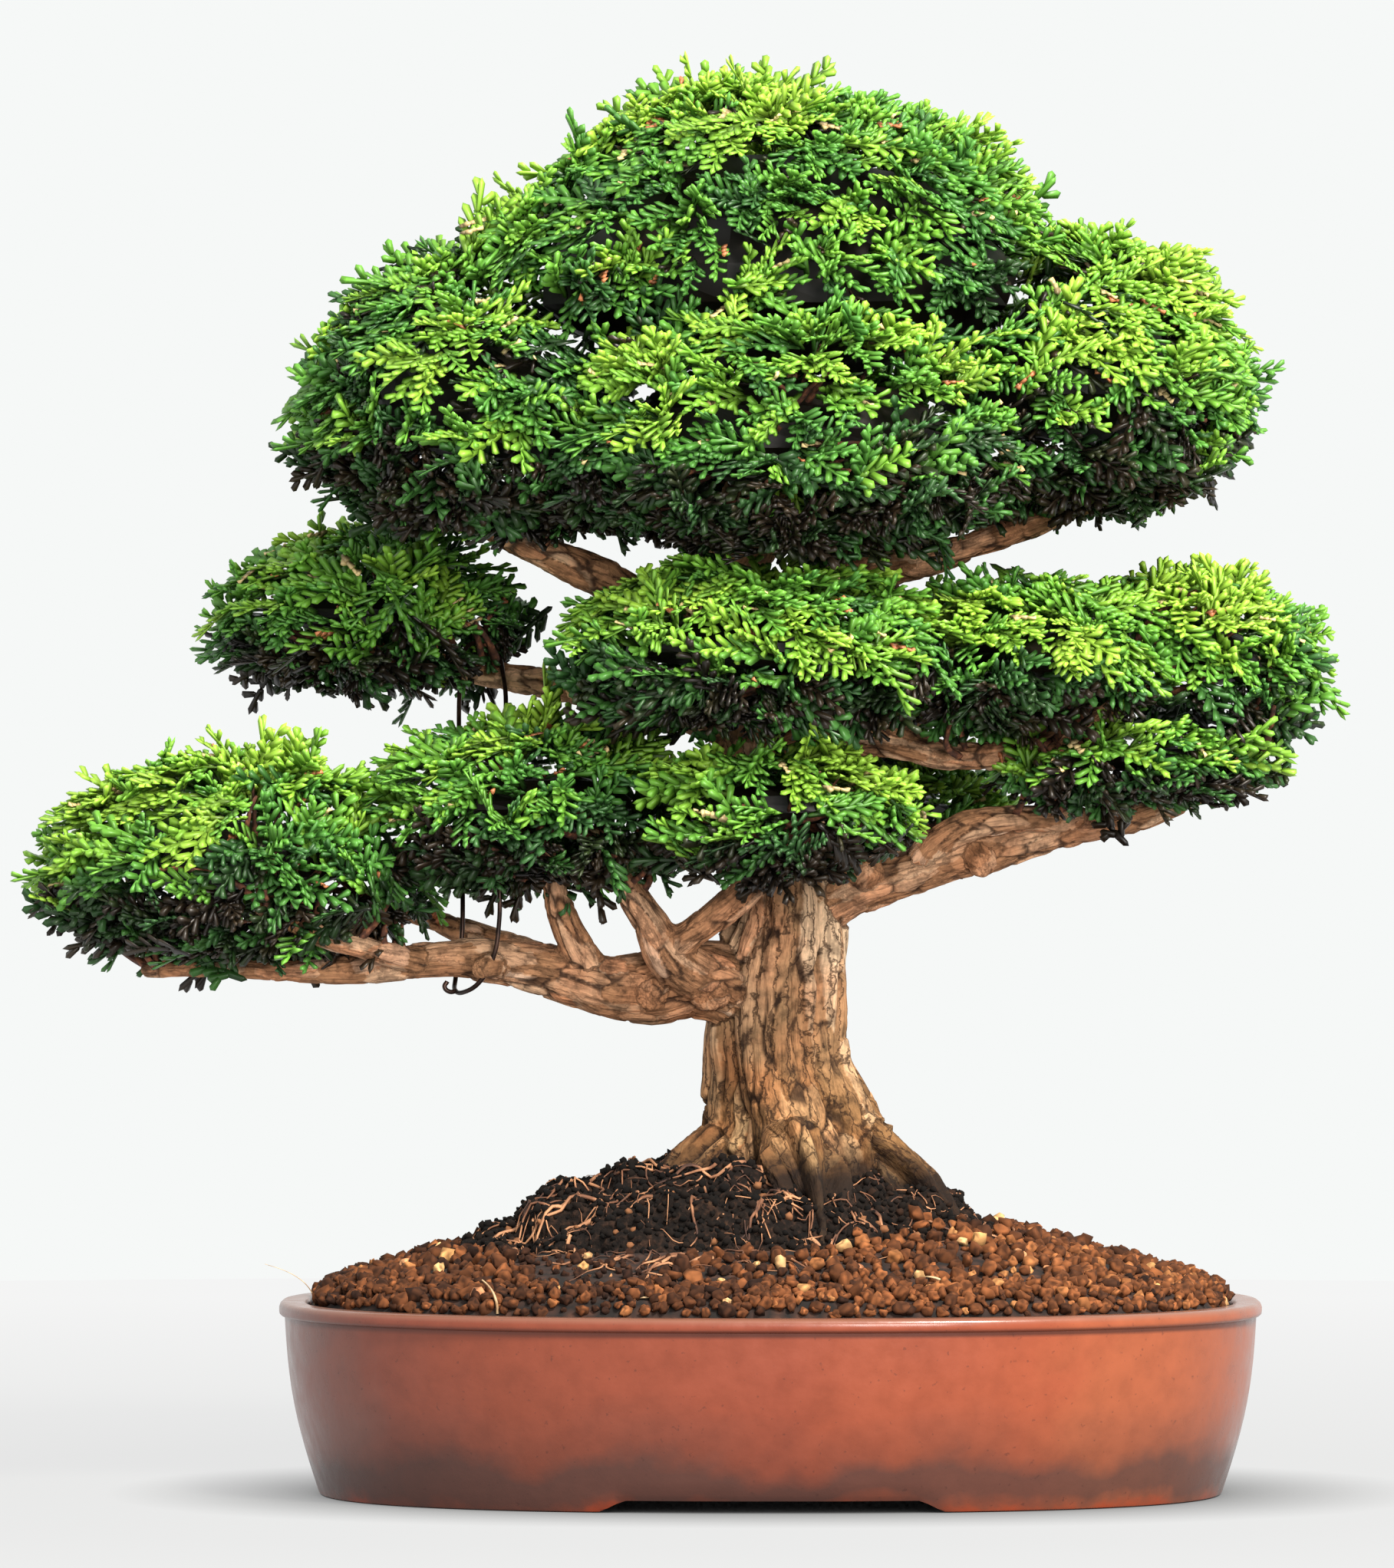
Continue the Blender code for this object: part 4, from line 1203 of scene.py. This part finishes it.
root_shade = node(
    tree,
    "ShaderNodeValToRGB",
    {0: bits.outputs[0]},
    stops=((0.34, "#3A231A"), (0.48, "#704830"), (0.64, "#B8845E")),
)
tree.links.new(root_shade.outputs[0], surface.inputs["Base Color"])
piece_of("fine_roots", root_mesh, root_skin, "root_mat")

# %% Litter in the grit
def rising(start, bend, length, radius):
    """A stalk that leans, as x, y, height above the rim and radius."""
    hit = landing(POT_MIDDLE.x + start[0], POT_MIDDLE.y + start[1], soil_tree, dome_tree)
    foot = hit[0] - RIM_MIDDLE
    points = []
    for step in range(6):
        share = step / 5
        lean = Vector(bend) * share * share * length
        up = Vector((0, 0, length * share * (1 - 0.25 * share)))
        points.append((*(foot + lean + up), radius * (1 - 0.6 * share)))
    return points


straws = [
    rising((-0.079, -0.088), (-0.35, 0.1, 0), 0.013, 0.0005),
    rising((-0.134, -0.010), (-0.9, -0.2, 0), 0.016, 0.00018),
    wandering((POT_MIDDLE.x - 0.084, POT_MIDDLE.y - 0.060, 0), 0.5, 0.012, 0.0007, dice),
    wandering((POT_MIDDLE.x + 0.052, POT_MIDDLE.y - 0.086, 0), 2.6, 0.010, 0.0006, dice),
    wandering((POT_MIDDLE.x - 0.045, POT_MIDDLE.y - 0.090, 0), -0.3, 0.014, 0.0005, dice),
]
straw_mesh = evaluated("straws", curve_through("straws", straws, 1, 3))
straw_mesh.shade_smooth()
straw, tree, surface = new_material(
    "dry_straw", {"Base Color": linear("#D8C29B"), "Roughness": 0.6}
)
coords = node(tree, "ShaderNodeTexCoord")
dull = node(
    tree,
    "ShaderNodeTexNoise",
    {"Vector": coords.outputs["Object"], "Scale": 1 / (3 * MM), "Detail": 3},
)
straw_shade = node(
    tree, "ShaderNodeValToRGB", {0: dull.outputs[0]}, stops=((0.35, "#8E6F4C"), (0.6, "#C9AF86"))
)
tree.links.new(straw_shade.outputs[0], surface.inputs["Base Color"])
piece_of("straws", straw_mesh, straw, "root_mat")

# %% [markdown]
# ## Wires
#
# A dark brown aluminium guy wire of 1.4 mm pulls the low left branch towards the one above, and
# one small hook is turned from it. Two plain wires hold the root ball down, and two
# clips hold squares of plastic mesh over the drainage holes.

# %% The guy wire
GUY_ROUTE = (
    (-0.0793, -0.0250, 0.1235),
    (-0.0795, -0.0256, 0.1115),
    (-0.0812, -0.0256, 0.1015),
    (-0.0850, -0.0244, 0.0945),
    (-0.0895, -0.0200, 0.0913),
    (-0.0925, -0.0140, 0.0915),
    (-0.0925, -0.0088, 0.0950),
    (-0.0910, -0.0076, 0.1035),
    (-0.0905, -0.0030, 0.1215),
    (-0.0915, 0.0140, 0.1535),
    (-0.0920, 0.0310, 0.1795),
    (-0.0910, 0.0365, 0.1905),
    (-0.0870, 0.0395, 0.1935),
    (-0.0820, 0.0375, 0.1915),
    (-0.0790, 0.0300, 0.1835),
    (-0.0785, 0.0100, 0.1635),
    (-0.0790, -0.0120, 0.1435),
)
GUY_RADIUS = 0.0007
guy_curve = curve_through("guy", [[(*point, GUY_RADIUS) for point in GUY_ROUTE]], 3, 10, ring=True)
guy_shape = bmesh.new()
guy_shape.from_mesh(evaluated("guy", guy_curve))
HOOKS = (
    ((-0.0922, -0.0150, 0.0914), (-0.0942, -0.0160, 0.0912), (-0.0956, -0.0162, 0.0926), (-0.0948, -0.0160, 0.0942)),
)
hook_curve = curve_through("hooks", [[(*point, GUY_RADIUS) for point in hook] for hook in HOOKS], 3, 8)
guy_shape.from_mesh(evaluated("hooks", hook_curve))
bmesh.ops.remove_doubles(guy_shape, verts=guy_shape.verts, dist=1e-6)
bmesh.ops.recalc_face_normals(guy_shape, faces=guy_shape.faces)
anodised, tree, surface = new_material(
    "brown_anodised_aluminium", {"Metallic": 0.7, "Roughness": 0.34}
)
coords = node(tree, "ShaderNodeTexCoord")
worn = node(
    tree,
    "ShaderNodeTexNoise",
    {"Vector": coords.outputs["Object"], "Scale": 1 / (5 * MM), "Detail": 4},
)
wire_shade = node(
    tree, "ShaderNodeValToRGB", {0: worn.outputs[0]}, stops=((0.4, "#241915"), (0.65, "#4A352C"))
)
tree.links.new(wire_shade.outputs[0], surface.inputs["Base Color"])
guy_mesh = mesh_of("guy_wire_round", smoothed(guy_shape))
piece_of("guy_wire_round", guy_mesh, anodised, "dark_wire", "guy_wire")

# %% The wires and meshes in the pot keep the solid model's shapes
bare, tree, surface = new_material("bare_aluminium_wire", {"Metallic": 1.0})
coords = node(tree, "ShaderNodeTexCoord")
dulled = node(
    tree,
    "ShaderNodeTexNoise",
    {"Vector": coords.outputs["Object"], "Scale": 1 / (3 * MM), "Detail": 4},
)
bare_shade = node(
    tree, "ShaderNodeValToRGB", {0: dulled.outputs[0]}, stops=((0.35, "#8E8B88"), (0.6, "#C2C0BD"))
)
tree.links.new(bare_shade.outputs[0], surface.inputs["Base Color"])
tree.links.new(
    node(tree, "ShaderNodeValToRGB", {0: dulled.outputs[0]}, stops=((0.3, 0.3), (0.7, 0.5))).outputs[0],
    surface.inputs["Roughness"],
)
plastic, tree, surface = new_material("black_moulded_mesh", {"Roughness": 0.6})
coords = node(tree, "ShaderNodeTexCoord")
centred = node(
    tree,
    "ShaderNodeMapping",
    {"Vector": coords.outputs["Object"], "Location": -POT_MIDDLE},
)
weave = node(
    tree,
    "ShaderNodeTexVoronoi",
    {"Vector": centred.outputs[0], "Scale": 1 / (2.4 * MM), "Randomness": 0.0},
    distance="CHEBYCHEV",
)
mesh_shade = node(
    tree, "ShaderNodeValToRGB", {0: weave.outputs["Distance"]}, stops=((0.3, "#050505"), (0.4, "#1E1E1D"))
)
tree.links.new(mesh_shade.outputs[0], surface.inputs["Base Color"])
for side in ("left", "right"):
    for title, finish in (("tie_wire_", bare), ("mesh_clip_", bare), ("drain_mesh_", plastic)):
        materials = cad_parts[title + side].data.materials
        materials.clear()
        materials.append(finish)
print("wires and meshes finished")

# %% [markdown]
# ## Twigs
#
# From each branch thin reddish twigs fan out to the leaves. For every foliage pad a few points
# of its skin are chosen, and a curve runs there from the nearest limb, rising a little on the
# way. They fill the hollow inside of a pad, and show at its underside and in its gaps.

# %% The pads of the solid model
PADS = sorted(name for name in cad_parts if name.startswith("foliage_"))
pad_meshes, pad_trees, pad_middles = {}, {}, {}
for name in PADS:
    low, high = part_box(name)
    pad_middles[name] = (low + high) / 2
    pad_trees[name] = BVHTree.FromObject(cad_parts[name], graph)
    pad_meshes[name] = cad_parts[name].data
print(len(PADS), "pads")


def skin_points(name, dice, count):
    """Random points on a pad's skin, spread evenly by area, with the direction out of it."""
    mesh = pad_meshes[name]
    mesh.calc_loop_triangles()
    triangles = [[mesh.vertices[i].co for i in tri.vertices] for tri in mesh.loop_triangles]
    sizes = [geometry.area_tri(*corners) for corners in triangles]
    found = []
    for a, b, c in dice.choices(triangles, sizes, k=count):
        one, two = dice.random(), dice.random()
        if one + two > 1:
            one, two = 1 - one, 1 - two
        found.append((a + (b - a) * one + (c - a) * two, (b - a).cross(c - a).normalized()))
    return found, sum(sizes)


def buried(name, place, normal, reach):
    """Whether this point is inside another pad, or has one within this reach outside it."""
    for other in PADS:
        if other == name or (pad_middles[other] - place).length > 0.16:
            continue
        hit, facing, _, gap = pad_trees[other].ray_cast(place + normal * 0.0002, normal)
        if hit and (gap < reach or (facing.dot(normal) > 0 and gap > 9 * MM)):
            return True
    return False


# %% Twigs from the limbs to the pads
dice = random.Random(21)
crown_rows = middle[(middle[:, 14] > LAST_ROOT) & (middle[:, 14] < len(LIMBS))]
trunk_rows = middle[(middle[:, 14] == 0) & (middle[:, 2] > RIM_MIDDLE.z + 0.18)]
limb_rows = np.concatenate([crown_rows, trunk_rows])
twigs = []
for name in PADS:
    low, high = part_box(name)
    targets, area = skin_points(name, dice, 46)
    for target, normal in targets:
        gap = np.linalg.norm(limb_rows[:, :3] - np.array(target - Vector((0, 0, 0.006))), axis=1)
        row = limb_rows[gap.argmin()]
        start = Vector(row[:3])
        end = target - normal * dice.uniform(1, 5) * MM
        span = (end - start).length
        inside = all(low[axis] - 0.008 < start[axis] < high[axis] + 0.004 for axis in range(3))
        if not inside or not 6 * MM < span < 52 * MM or buried(name, target, normal, 0.02):
            continue
        end = start.lerp(end, 0.86)
        sag = Vector((dice.gauss(0, 0.10), dice.gauss(0, 0.10), dice.uniform(-0.10, 0.16))) * span
        mid = start.lerp(end, 0.5) + sag
        thick = min(0.6 * row[3], dice.uniform(0.8, 1.5) * MM)
        points = [start, start.lerp(mid, 0.5) + sag * 0.3, mid, mid.lerp(end, 0.5) + sag * 0.15, end]
        radii = [thick * share for share in (1.25, 1.0, 0.85, 0.65, 0.45)]
        twigs.append([(*(point - RIM_MIDDLE), radius) for point, radius in zip(points, radii)])
twig_mesh = evaluated("twigs", curve_through("twigs", twigs, 0, 4))
shape = bmesh.new()
shape.from_mesh(twig_mesh)
shape.normal_update()
for vertex in shape.verts:
    vertex.co += vertex.normal * noise.noise(vertex.co / (2.5 * MM)) * 0.35 * MM
twig_mesh = mesh_of("twigs", smoothed(shape))
twig_bark, tree, surface = new_material("young_red_bark", {"Roughness": 0.85})
coords = node(tree, "ShaderNodeTexCoord")
scaly = node(
    tree,
    "ShaderNodeTexNoise",
    {"Vector": coords.outputs["Object"], "Scale": 1 / (2.4 * MM), "Detail": 5},
)
twig_shade = node(
    tree,
    "ShaderNodeValToRGB",
    {0: scaly.outputs[0]},
    stops=((0.3, "#2A1A14"), (0.5, "#5E3827"), (0.65, "#965E40"), (0.8, "#B98560")),
)
tree.links.new(twig_shade.outputs[0], surface.inputs["Base Color"])
bump = node(
    tree, "ShaderNodeBump", {"Strength": 0.8, "Distance": 0.0006, "Height": scaly.outputs[0]}
)
tree.links.new(bump.outputs[0], surface.inputs["Normal"])
piece_of("twigs", twig_mesh, twig_bark, "bark_wood")
print(len(twigs), "twigs")

# %% [markdown]
# ## Hinoki leaves
#
# A hinoki shoot is a flat fan. Its side shoots leave left and right in turn, each a blunt,
# slightly flattened finger about 2 mm wide, covered with scale leaves pressed to it, and the
# older fingers fork again. Each finger here is a sphere of four sides, stretched and blunted,
# which is 16 triangles. A dozen of them on a drooping axis make one fan, and five different
# fans are the patterns for the whole tree.


# %% One finger of scale leaves
def add_finger(shape, start, way, length, width, tone):
    """A blunt flat finger from a point, in the plane of the fan."""
    made = bmesh.ops.create_uvsphere(shape, u_segments=3, v_segments=3, radius=1.0)["verts"]
    layer = shape.loops.layers.uv.verify()
    along = {}
    for vertex in made:
        tip = vertex.co.z > 0
        if abs(vertex.co.z) < 0.9:
            x, y, _ = vertex.co
            wide = 1.42 if tip else 1.12
            vertex.co = Vector((-y * wide, x * wide, 0.68 if tip else -0.62))
        along[vertex] = (vertex.co.z + 1) / 2
    faces = {face for vertex in made for face in vertex.link_faces}
    for face in faces:
        face.smooth = True
        for loop in face.loops:
            # Across the card, a finger is darker towards the root of its fan and brighter at its tip: painted shade
            # deep in the fan and painted light at the tips.
            loop[layer].uv = (0.05 + 0.9 * (0.55 * tone + 0.45 * along[loop.vert]), 0.5)
    front = way.normalized()
    up = Vector((0, 0, 1))
    side = front.cross(up).normalized()
    up = side.cross(front)
    turn = Matrix((side, up, front)).transposed().to_4x4()
    size = Matrix.Diagonal((width / 2, width * 0.27, length / 2, 1))
    place = Matrix.Translation(start + front * length / 2)
    bmesh.ops.transform(shape, matrix=place @ turn @ size, verts=made)


# %% A fan of fingers
def fan_pattern(seed, length, pairs, forks):
    dice = random.Random(seed)
    shape = bmesh.new()
    wave = dice.uniform(-0.2, 0.2)
    droop = dice.uniform(0.6, 1.5) / 100
    width = 2.15

    def axis_at(share):
        y = length * share
        return Vector((wave * y * share, y, -droop * y * y))

    for step in range(3):
        a, b = axis_at(step / 3), axis_at((step + 1) / 3)
        add_finger(shape, a, b - a, (b - a).length * 1.22, width * (1.0 - 0.12 * step), step / 2)
    hand = dice.choice((-1, 1))
    for number in range(pairs):
        share = 0.16 + 0.72 * number / (pairs - 1)
        hand = -hand
        root = axis_at(share)
        lean = math.radians(dice.uniform(34, 50) - 10 * share)
        way = Vector((hand * math.sin(lean), math.cos(lean), dice.uniform(-0.12, 0.10)))
        reach = length * (0.42 - 0.20 * share) * dice.uniform(0.85, 1.15)
        add_finger(shape, root, way, reach, width * dice.uniform(0.92, 1.08), 0.35 + 0.55 * share)
        if number < forks:
            split = root + way * reach * 0.45
            bent = lean - dice.choice((-1, 1)) * math.radians(42)
            turn = Vector((hand * math.sin(bent), math.cos(bent), way.z))
            add_finger(shape, split, turn, reach * 0.62, width * 0.95, 0.75)
    for vertex in shape.verts:
        vertex.co *= MM
    return pattern_of("fan", shape)


fans = [
    fan_pattern(1, 18, 8, 2),
    fan_pattern(2, 21, 9, 2),
    fan_pattern(3, 16, 7, 3),
    fan_pattern(4, 19, 8, 3),
    fan_pattern(5, 15, 7, 2),
]
sparse = [fan_pattern(6, 20, 4, 0), fan_pattern(7, 18, 4, 1)]
buds = fan_pattern(8, 7, 2, 0)
print("fans of", [len(fan.polygons) for fan in fans], "faces")

# %% [markdown]
# ## Clothing the pads
#
# Fans are set on each pad's skin, a few millimetres apart. Each points outward from the middle
# of its pad, leans over, and shows its flat face to the light, as growing shoots do. Under the
# skin a thinner layer of fans in the darkest rows closes the gaps, as painted shade, and the
# underside stays thin, so twigs show there, its fans also painted dark as shade. Rows of the
# colour card go from near black through blue green, green and lime to dead tan. A fan that
# faces the sky or stands high on its tuft takes a lighter row, as painted light, one that sits
# low takes a darker row, as painted shade, some pads are shifted lighter or darker as painted
# light and shade, and slow patches of noise vary the rest.

# %% Leaf colours
LEAF_ROWS = (
    (0.00, "#17110B"),
    (0.10, "#2B2114"),
    (0.16, "#1F3216"),
    (0.30, "#30572A"),
    (0.42, "#457A2E"),
    (0.55, "#5F9430"),
    (0.68, "#7CA834"),
    (0.80, "#90B63C"),
    (0.875, "#A8C54C"),
    (0.90, "#CDBB86"),
    (0.95, "#CDBB86"),
    (0.965, "#AC6A44"),
    (1.00, "#AC6A44"),
)
# The shade across the card runs from near black at a fan's root to bright at its tips: painted shade and painted
# light.
leaves = card_material(
    "hinoki_scale_leaves",
    {"Roughness": 0.42, "IOR": 1.45, "Specular IOR Level": 0.5},
    rows=LEAF_ROWS,
    shades=((0.0, 0.16), (0.3, 0.42), (0.6, 0.92), (0.85, 1.35), (1.0, 1.7)),
)
# Rows added or taken away per pad: painted light on the pads at the right and front and the low left outer pad,
# painted shade on the left middle and low back pads.
PADS_IN_PAINTED_SHADE = {"foliage_left_middle": 1.4, "foliage_back_low": 1.0}
PADS_IN_PAINTED_LIGHT = {
    "foliage_crown_right": 2.0,
    "foliage_right_tip": 2.0,
    "foliage_right_middle": 1.2,
    "foliage_front_low": 2.0,
    "foliage_left_low_outer": 0.8,
}
MOST_FANS = 1350
FAN_GAP = 5.8 * MM
QUICK_SHARE = 1.0


# %% Tufts: fans that share a branchlet
TUFT_GAP = 15 * MM


def tufts_on(name, dice):
    """Tuft centres on a pad's skin, each with the way it grows, its lift and its tone."""
    found = []
    spacing = Spacing(TUFT_GAP)
    for centre, normal in skin_points(name, dice, 900)[0]:
        if not spacing.take(centre):
            continue
        away = centre - pad_middles[name]
        away -= normal * away.dot(normal)
        away = away.normalized() if away.length > 1e-6 else Vector((1, 0, 0))
        stray, lean = dice.gauss(0, 0.8), dice.uniform(0.30, 0.95)
        along = away * math.cos(stray) + normal.cross(away) * math.sin(stray)
        apart = Vector((centre.x - POT_MIDDLE.x, (centre.y - POT_MIDDLE.y) * 0.5, 0.04)) / 0.12
        way = normal * lean + along * math.sqrt(1 - lean * lean) + apart * 0.4
        found.append((centre, way.normalized(), dice.uniform(-4, 4) * MM, dice.gauss(0, 2.2)))
    lookup = KDTree(len(found))
    for number, tuft in enumerate(found):
        lookup.insert(tuft[0], number)
    lookup.balance()
    return found, lookup


def fan_place(place, normal, way, dice, sink):
    """Where a fan's root goes and how it is turned, as a matrix."""
    front = way + Vector((dice.gauss(0, 0.2), dice.gauss(0, 0.2), dice.gauss(0, 0.2)))
    front.normalize()
    front.z = min(max(front.z, -0.4), 0.88)
    front.normalize()
    up = Vector((0, 0, 0.6)) + normal * 0.7
    up += Vector((dice.gauss(0, 0.4), dice.gauss(0, 0.4), dice.gauss(0, 0.4)))
    up = (up - front * up.dot(front)).normalized()
    size = dice.uniform(0.76, 1.2)
    turn = Matrix((front.cross(up), front, up)).transposed().to_4x4()
    root = place - front * sink * size
    return Matrix.Translation(root) @ turn @ Matrix.Scale(size, 4)


# %% The dark heart of a pad
def add_heart(shape, name, dice):
    """A ragged dark lump well inside a pad, where shaded twigs and leaves close every gap."""
    heart = pad_meshes[name].copy()
    low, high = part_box(name)
    half = (high - low) / 2
    shrink = [max(0.3, (half[axis] - HEART_DEPTH) / half[axis]) for axis in range(3)]
    for vertex in heart.vertices:
        rough = 1 + 0.07 * noise.noise(vertex.co / (9 * MM))
        out = vertex.co - pad_middles[name]
        vertex.co = pad_middles[name] + Vector([out[i] * shrink[i] * rough for i in range(3)])
    part = bmesh.new()
    part.from_mesh(heart)
    bmesh.ops.subdivide_edges(part, edges=part.edges, cuts=1, use_grid_fill=True)
    bpy.data.meshes.remove(heart)
    bmesh.ops.remove_doubles(part, verts=part.verts, dist=0.01 * MM)
    layer = part.loops.layers.uv.new("OFBake")
    for face in part.faces:
        for loop in face.loops:
            dark = 0.5 + 0.8 * noise.noise(loop.vert.co / (5 * MM))
            loop[layer].uv = (min(max(0.1 + 0.3 * dark, 0.02), 0.5), 0.9 / CARD)
    joined = mesh_of("heart", part)
    joined.uv_layers[0].name = "OFBake"
    shape.from_mesh(joined)


# %% Fans on every pad
HEART_DEPTH = 21 * MM
total = 0
for number, name in enumerate(PADS):
    dice = random.Random(100 + number)
    tufts, lookup = tufts_on(name, dice)
    _, area = skin_points(name, dice, 1)
    wanted = min(MOST_FANS, area / (FAN_GAP * FAN_GAP)) * QUICK_SHARE
    sides = [bmesh.new() for _ in range(2 if wanted > 900 * QUICK_SHARE else 1)]
    spacing = Spacing(FAN_GAP * 0.8)
    outer, inner = 0, 0
    places, _ = skin_points(name, dice, int(area / (FAN_GAP * FAN_GAP) * 7 * QUICK_SHARE))
    for place, normal in places:
        if outer >= wanted:
            break
        under = normal.z < -0.35
        if under and dice.random() < 0.5:
            continue
        if not spacing.take(place) or buried(name, place, normal, 5 * MM):
            continue
        centre, index, gap = lookup.find(place)
        _, way, lift, tone = tufts[index]
        spread = (place - centre) / TUFT_GAP
        lump = lift - 3.5 * MM * min(spread.length_squared * 4, 1.2)
        patch = noise.noise(place / (34 * MM) + Vector((4, 1, 7)))
        at = fan_place(place, normal, way + spread * 1.1, dice, dice.uniform(10, 14.5) * MM - lump)
        # Facing the sky and standing high on the tuft give lighter rows, as painted light; sitting low gives darker
        # rows, as painted shade.
        row = 11.8 + 4.0 * normal.z + 4.5 * patch + dice.gauss(0, 1.6) + tone + lump * 450
        row += PADS_IN_PAINTED_LIGHT.get(name, 0) - PADS_IN_PAINTED_SHADE.get(name, 0)
        row = min(max(row, 3.4), 18.5)
        # Underside fans take the darkest rows: painted shade.
        if under:
            row = dice.choice((0, 1, 2, 3, 4, 6, 8))
        shape = sides[0 if place.x < pad_middles[name].x else -1]
        add_copy(shape, dice.choice(fans), at, int(row))
        outer += 1
        if dice.random() < 0.10 and not under:
            tip = fan_place(place, normal, way, dice, dice.uniform(4, 9) * MM - lump)
            add_copy(shape, buds, tip, dice.choice((22, 22, 23)))
    spacing = Spacing(8.0 * MM)
    for place, normal in places:
        if inner >= wanted * 0.12 or min(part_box(name)[1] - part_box(name)[0]) < 75 * MM:
            break
        if (normal.z < -0.3 and dice.random() < 0.5) or not spacing.take(place):
            continue
        if buried(name, place, normal, 2 * MM):
            continue
        centre, index, gap = lookup.find(place)
        at = fan_place(place, normal, tufts[index][1], dice, dice.uniform(18, 25) * MM)
        # The inner fans take the darkest rows: painted shade inside the pad.
        add_copy(sides[-1], dice.choice(sparse), at, dice.choice((0, 1, 2, 3, 4, 5)))
        inner += 1
    add_heart(sides[0], name, dice)
    for side, shape in enumerate(sides):
        title = name.replace("foliage_", "leaves_") + ("_other_half" if side else "")
        hidden = () if side else (name,)
        piece_of(title, mesh_of(title, shape), leaves, "cypress_leaves", *hidden)
    total += outer + inner
print("fans placed:", total)

# %% [markdown]
# ## Floor, light and camera
#
# A bonsai is shown on a plain pale sheet under soft light: one large soft box high in front and
# a little to the right, a weaker one from the left, and white walls all round, which the world
# stands for. The camera is far away with a long lens, nearly level, so uprights stay upright.

# %% The floor
floor_shape = bmesh.new()
bmesh.ops.create_circle(floor_shape, cap_ends=True, segments=96, radius=1.3)
floor_mesh = mesh_of("floor", floor_shape)
floor = bpy.data.objects.new("floor", floor_mesh)
bpy.context.scene.collection.objects.link(floor)
# The floor glows, which is painted light: more strongly towards its edge, so that it fades into the white world, and
# ambient occlusion darkens its glow near the pot, as a painted shadow.
self_lit_floor, tree, surface = new_material(
    "matt_pale_paper", {"Base Color": linear("#303130"), "Roughness": 1.0}
)
surface.inputs["Specular IOR Level"].default_value = 0.0
coords = node(tree, "ShaderNodeTexCoord")
from_middle = node(tree, "ShaderNodeVectorMath", {0: coords.outputs["Object"]}, operation="LENGTH")
glow = node(
    tree,
    "ShaderNodeMapRange",
    {0: from_middle.outputs["Value"], 1: 0.25, 2: 1.15, 3: 0.76, 4: 0.865},
)
painted_contact_shadow = node(tree, "ShaderNodeAmbientOcclusion", {"Distance": 0.06})
tree.links.new(painted_contact_shadow.outputs["Color"], surface.inputs["Emission Color"])
tree.links.new(glow.outputs[0], surface.inputs["Emission Strength"])
floor_mesh.materials.append(self_lit_floor)

# %% The white room
world = bpy.data.worlds.new("white_room")
bpy.context.scene.world = world
world.use_nodes = True
backdrop = world.node_tree.nodes["Background"]
backdrop.inputs["Color"].default_value = linear("#F6F8F7")
backdrop.inputs["Strength"].default_value = 1.0


# %% Soft boxes
def soft_box(name, place, size, power, colour):
    """A square light that faces the middle of the tree."""
    lamp = bpy.data.lights.new(name, "AREA")
    lamp.shape = "SQUARE"
    lamp.size = size
    lamp.energy = power
    lamp.color = linear(colour)[:3]
    made = bpy.data.objects.new(name, lamp)
    bpy.context.scene.collection.objects.link(made)
    made.location = place
    aim = Vector((0, 0, 0.22)) - made.location
    made.rotation_euler = aim.to_track_quat("-Z", "Y").to_euler()
    return made


soft_box("key_light", (0.80, -1.35, 1.70), 0.42, 90, "#FFF9F0")
soft_box("front_light", (0.55, -2.1, 0.60), 0.6, 30, "#FFFAF4")
print("lights placed")

# %% The camera
DISTANCE = 4.0
VIEW_HEIGHT = 0.4615
IMAGE_WIDE, IMAGE_TALL = 1817, 2044
view = bpy.data.cameras.new("camera")
view.sensor_width = 36
view.lens = 36 * DISTANCE / VIEW_HEIGHT
camera = bpy.data.objects.new("camera", view)
bpy.context.scene.collection.objects.link(camera)
camera.location = (POT_MIDDLE.x - 0.0216, POT_MIDDLE.y - DISTANCE, 0.2565)
look_at = Vector((POT_MIDDLE.x - 0.0216, POT_MIDDLE.y, 0.2084))
camera.rotation_euler = (look_at - camera.location).to_track_quat("-Z", "Y").to_euler()
bpy.context.scene.camera = camera
bpy.context.scene.view_settings.view_transform = "Standard"
print("lens:", round(view.lens, 1), "mm, picture", IMAGE_WIDE, "by", IMAGE_TALL)
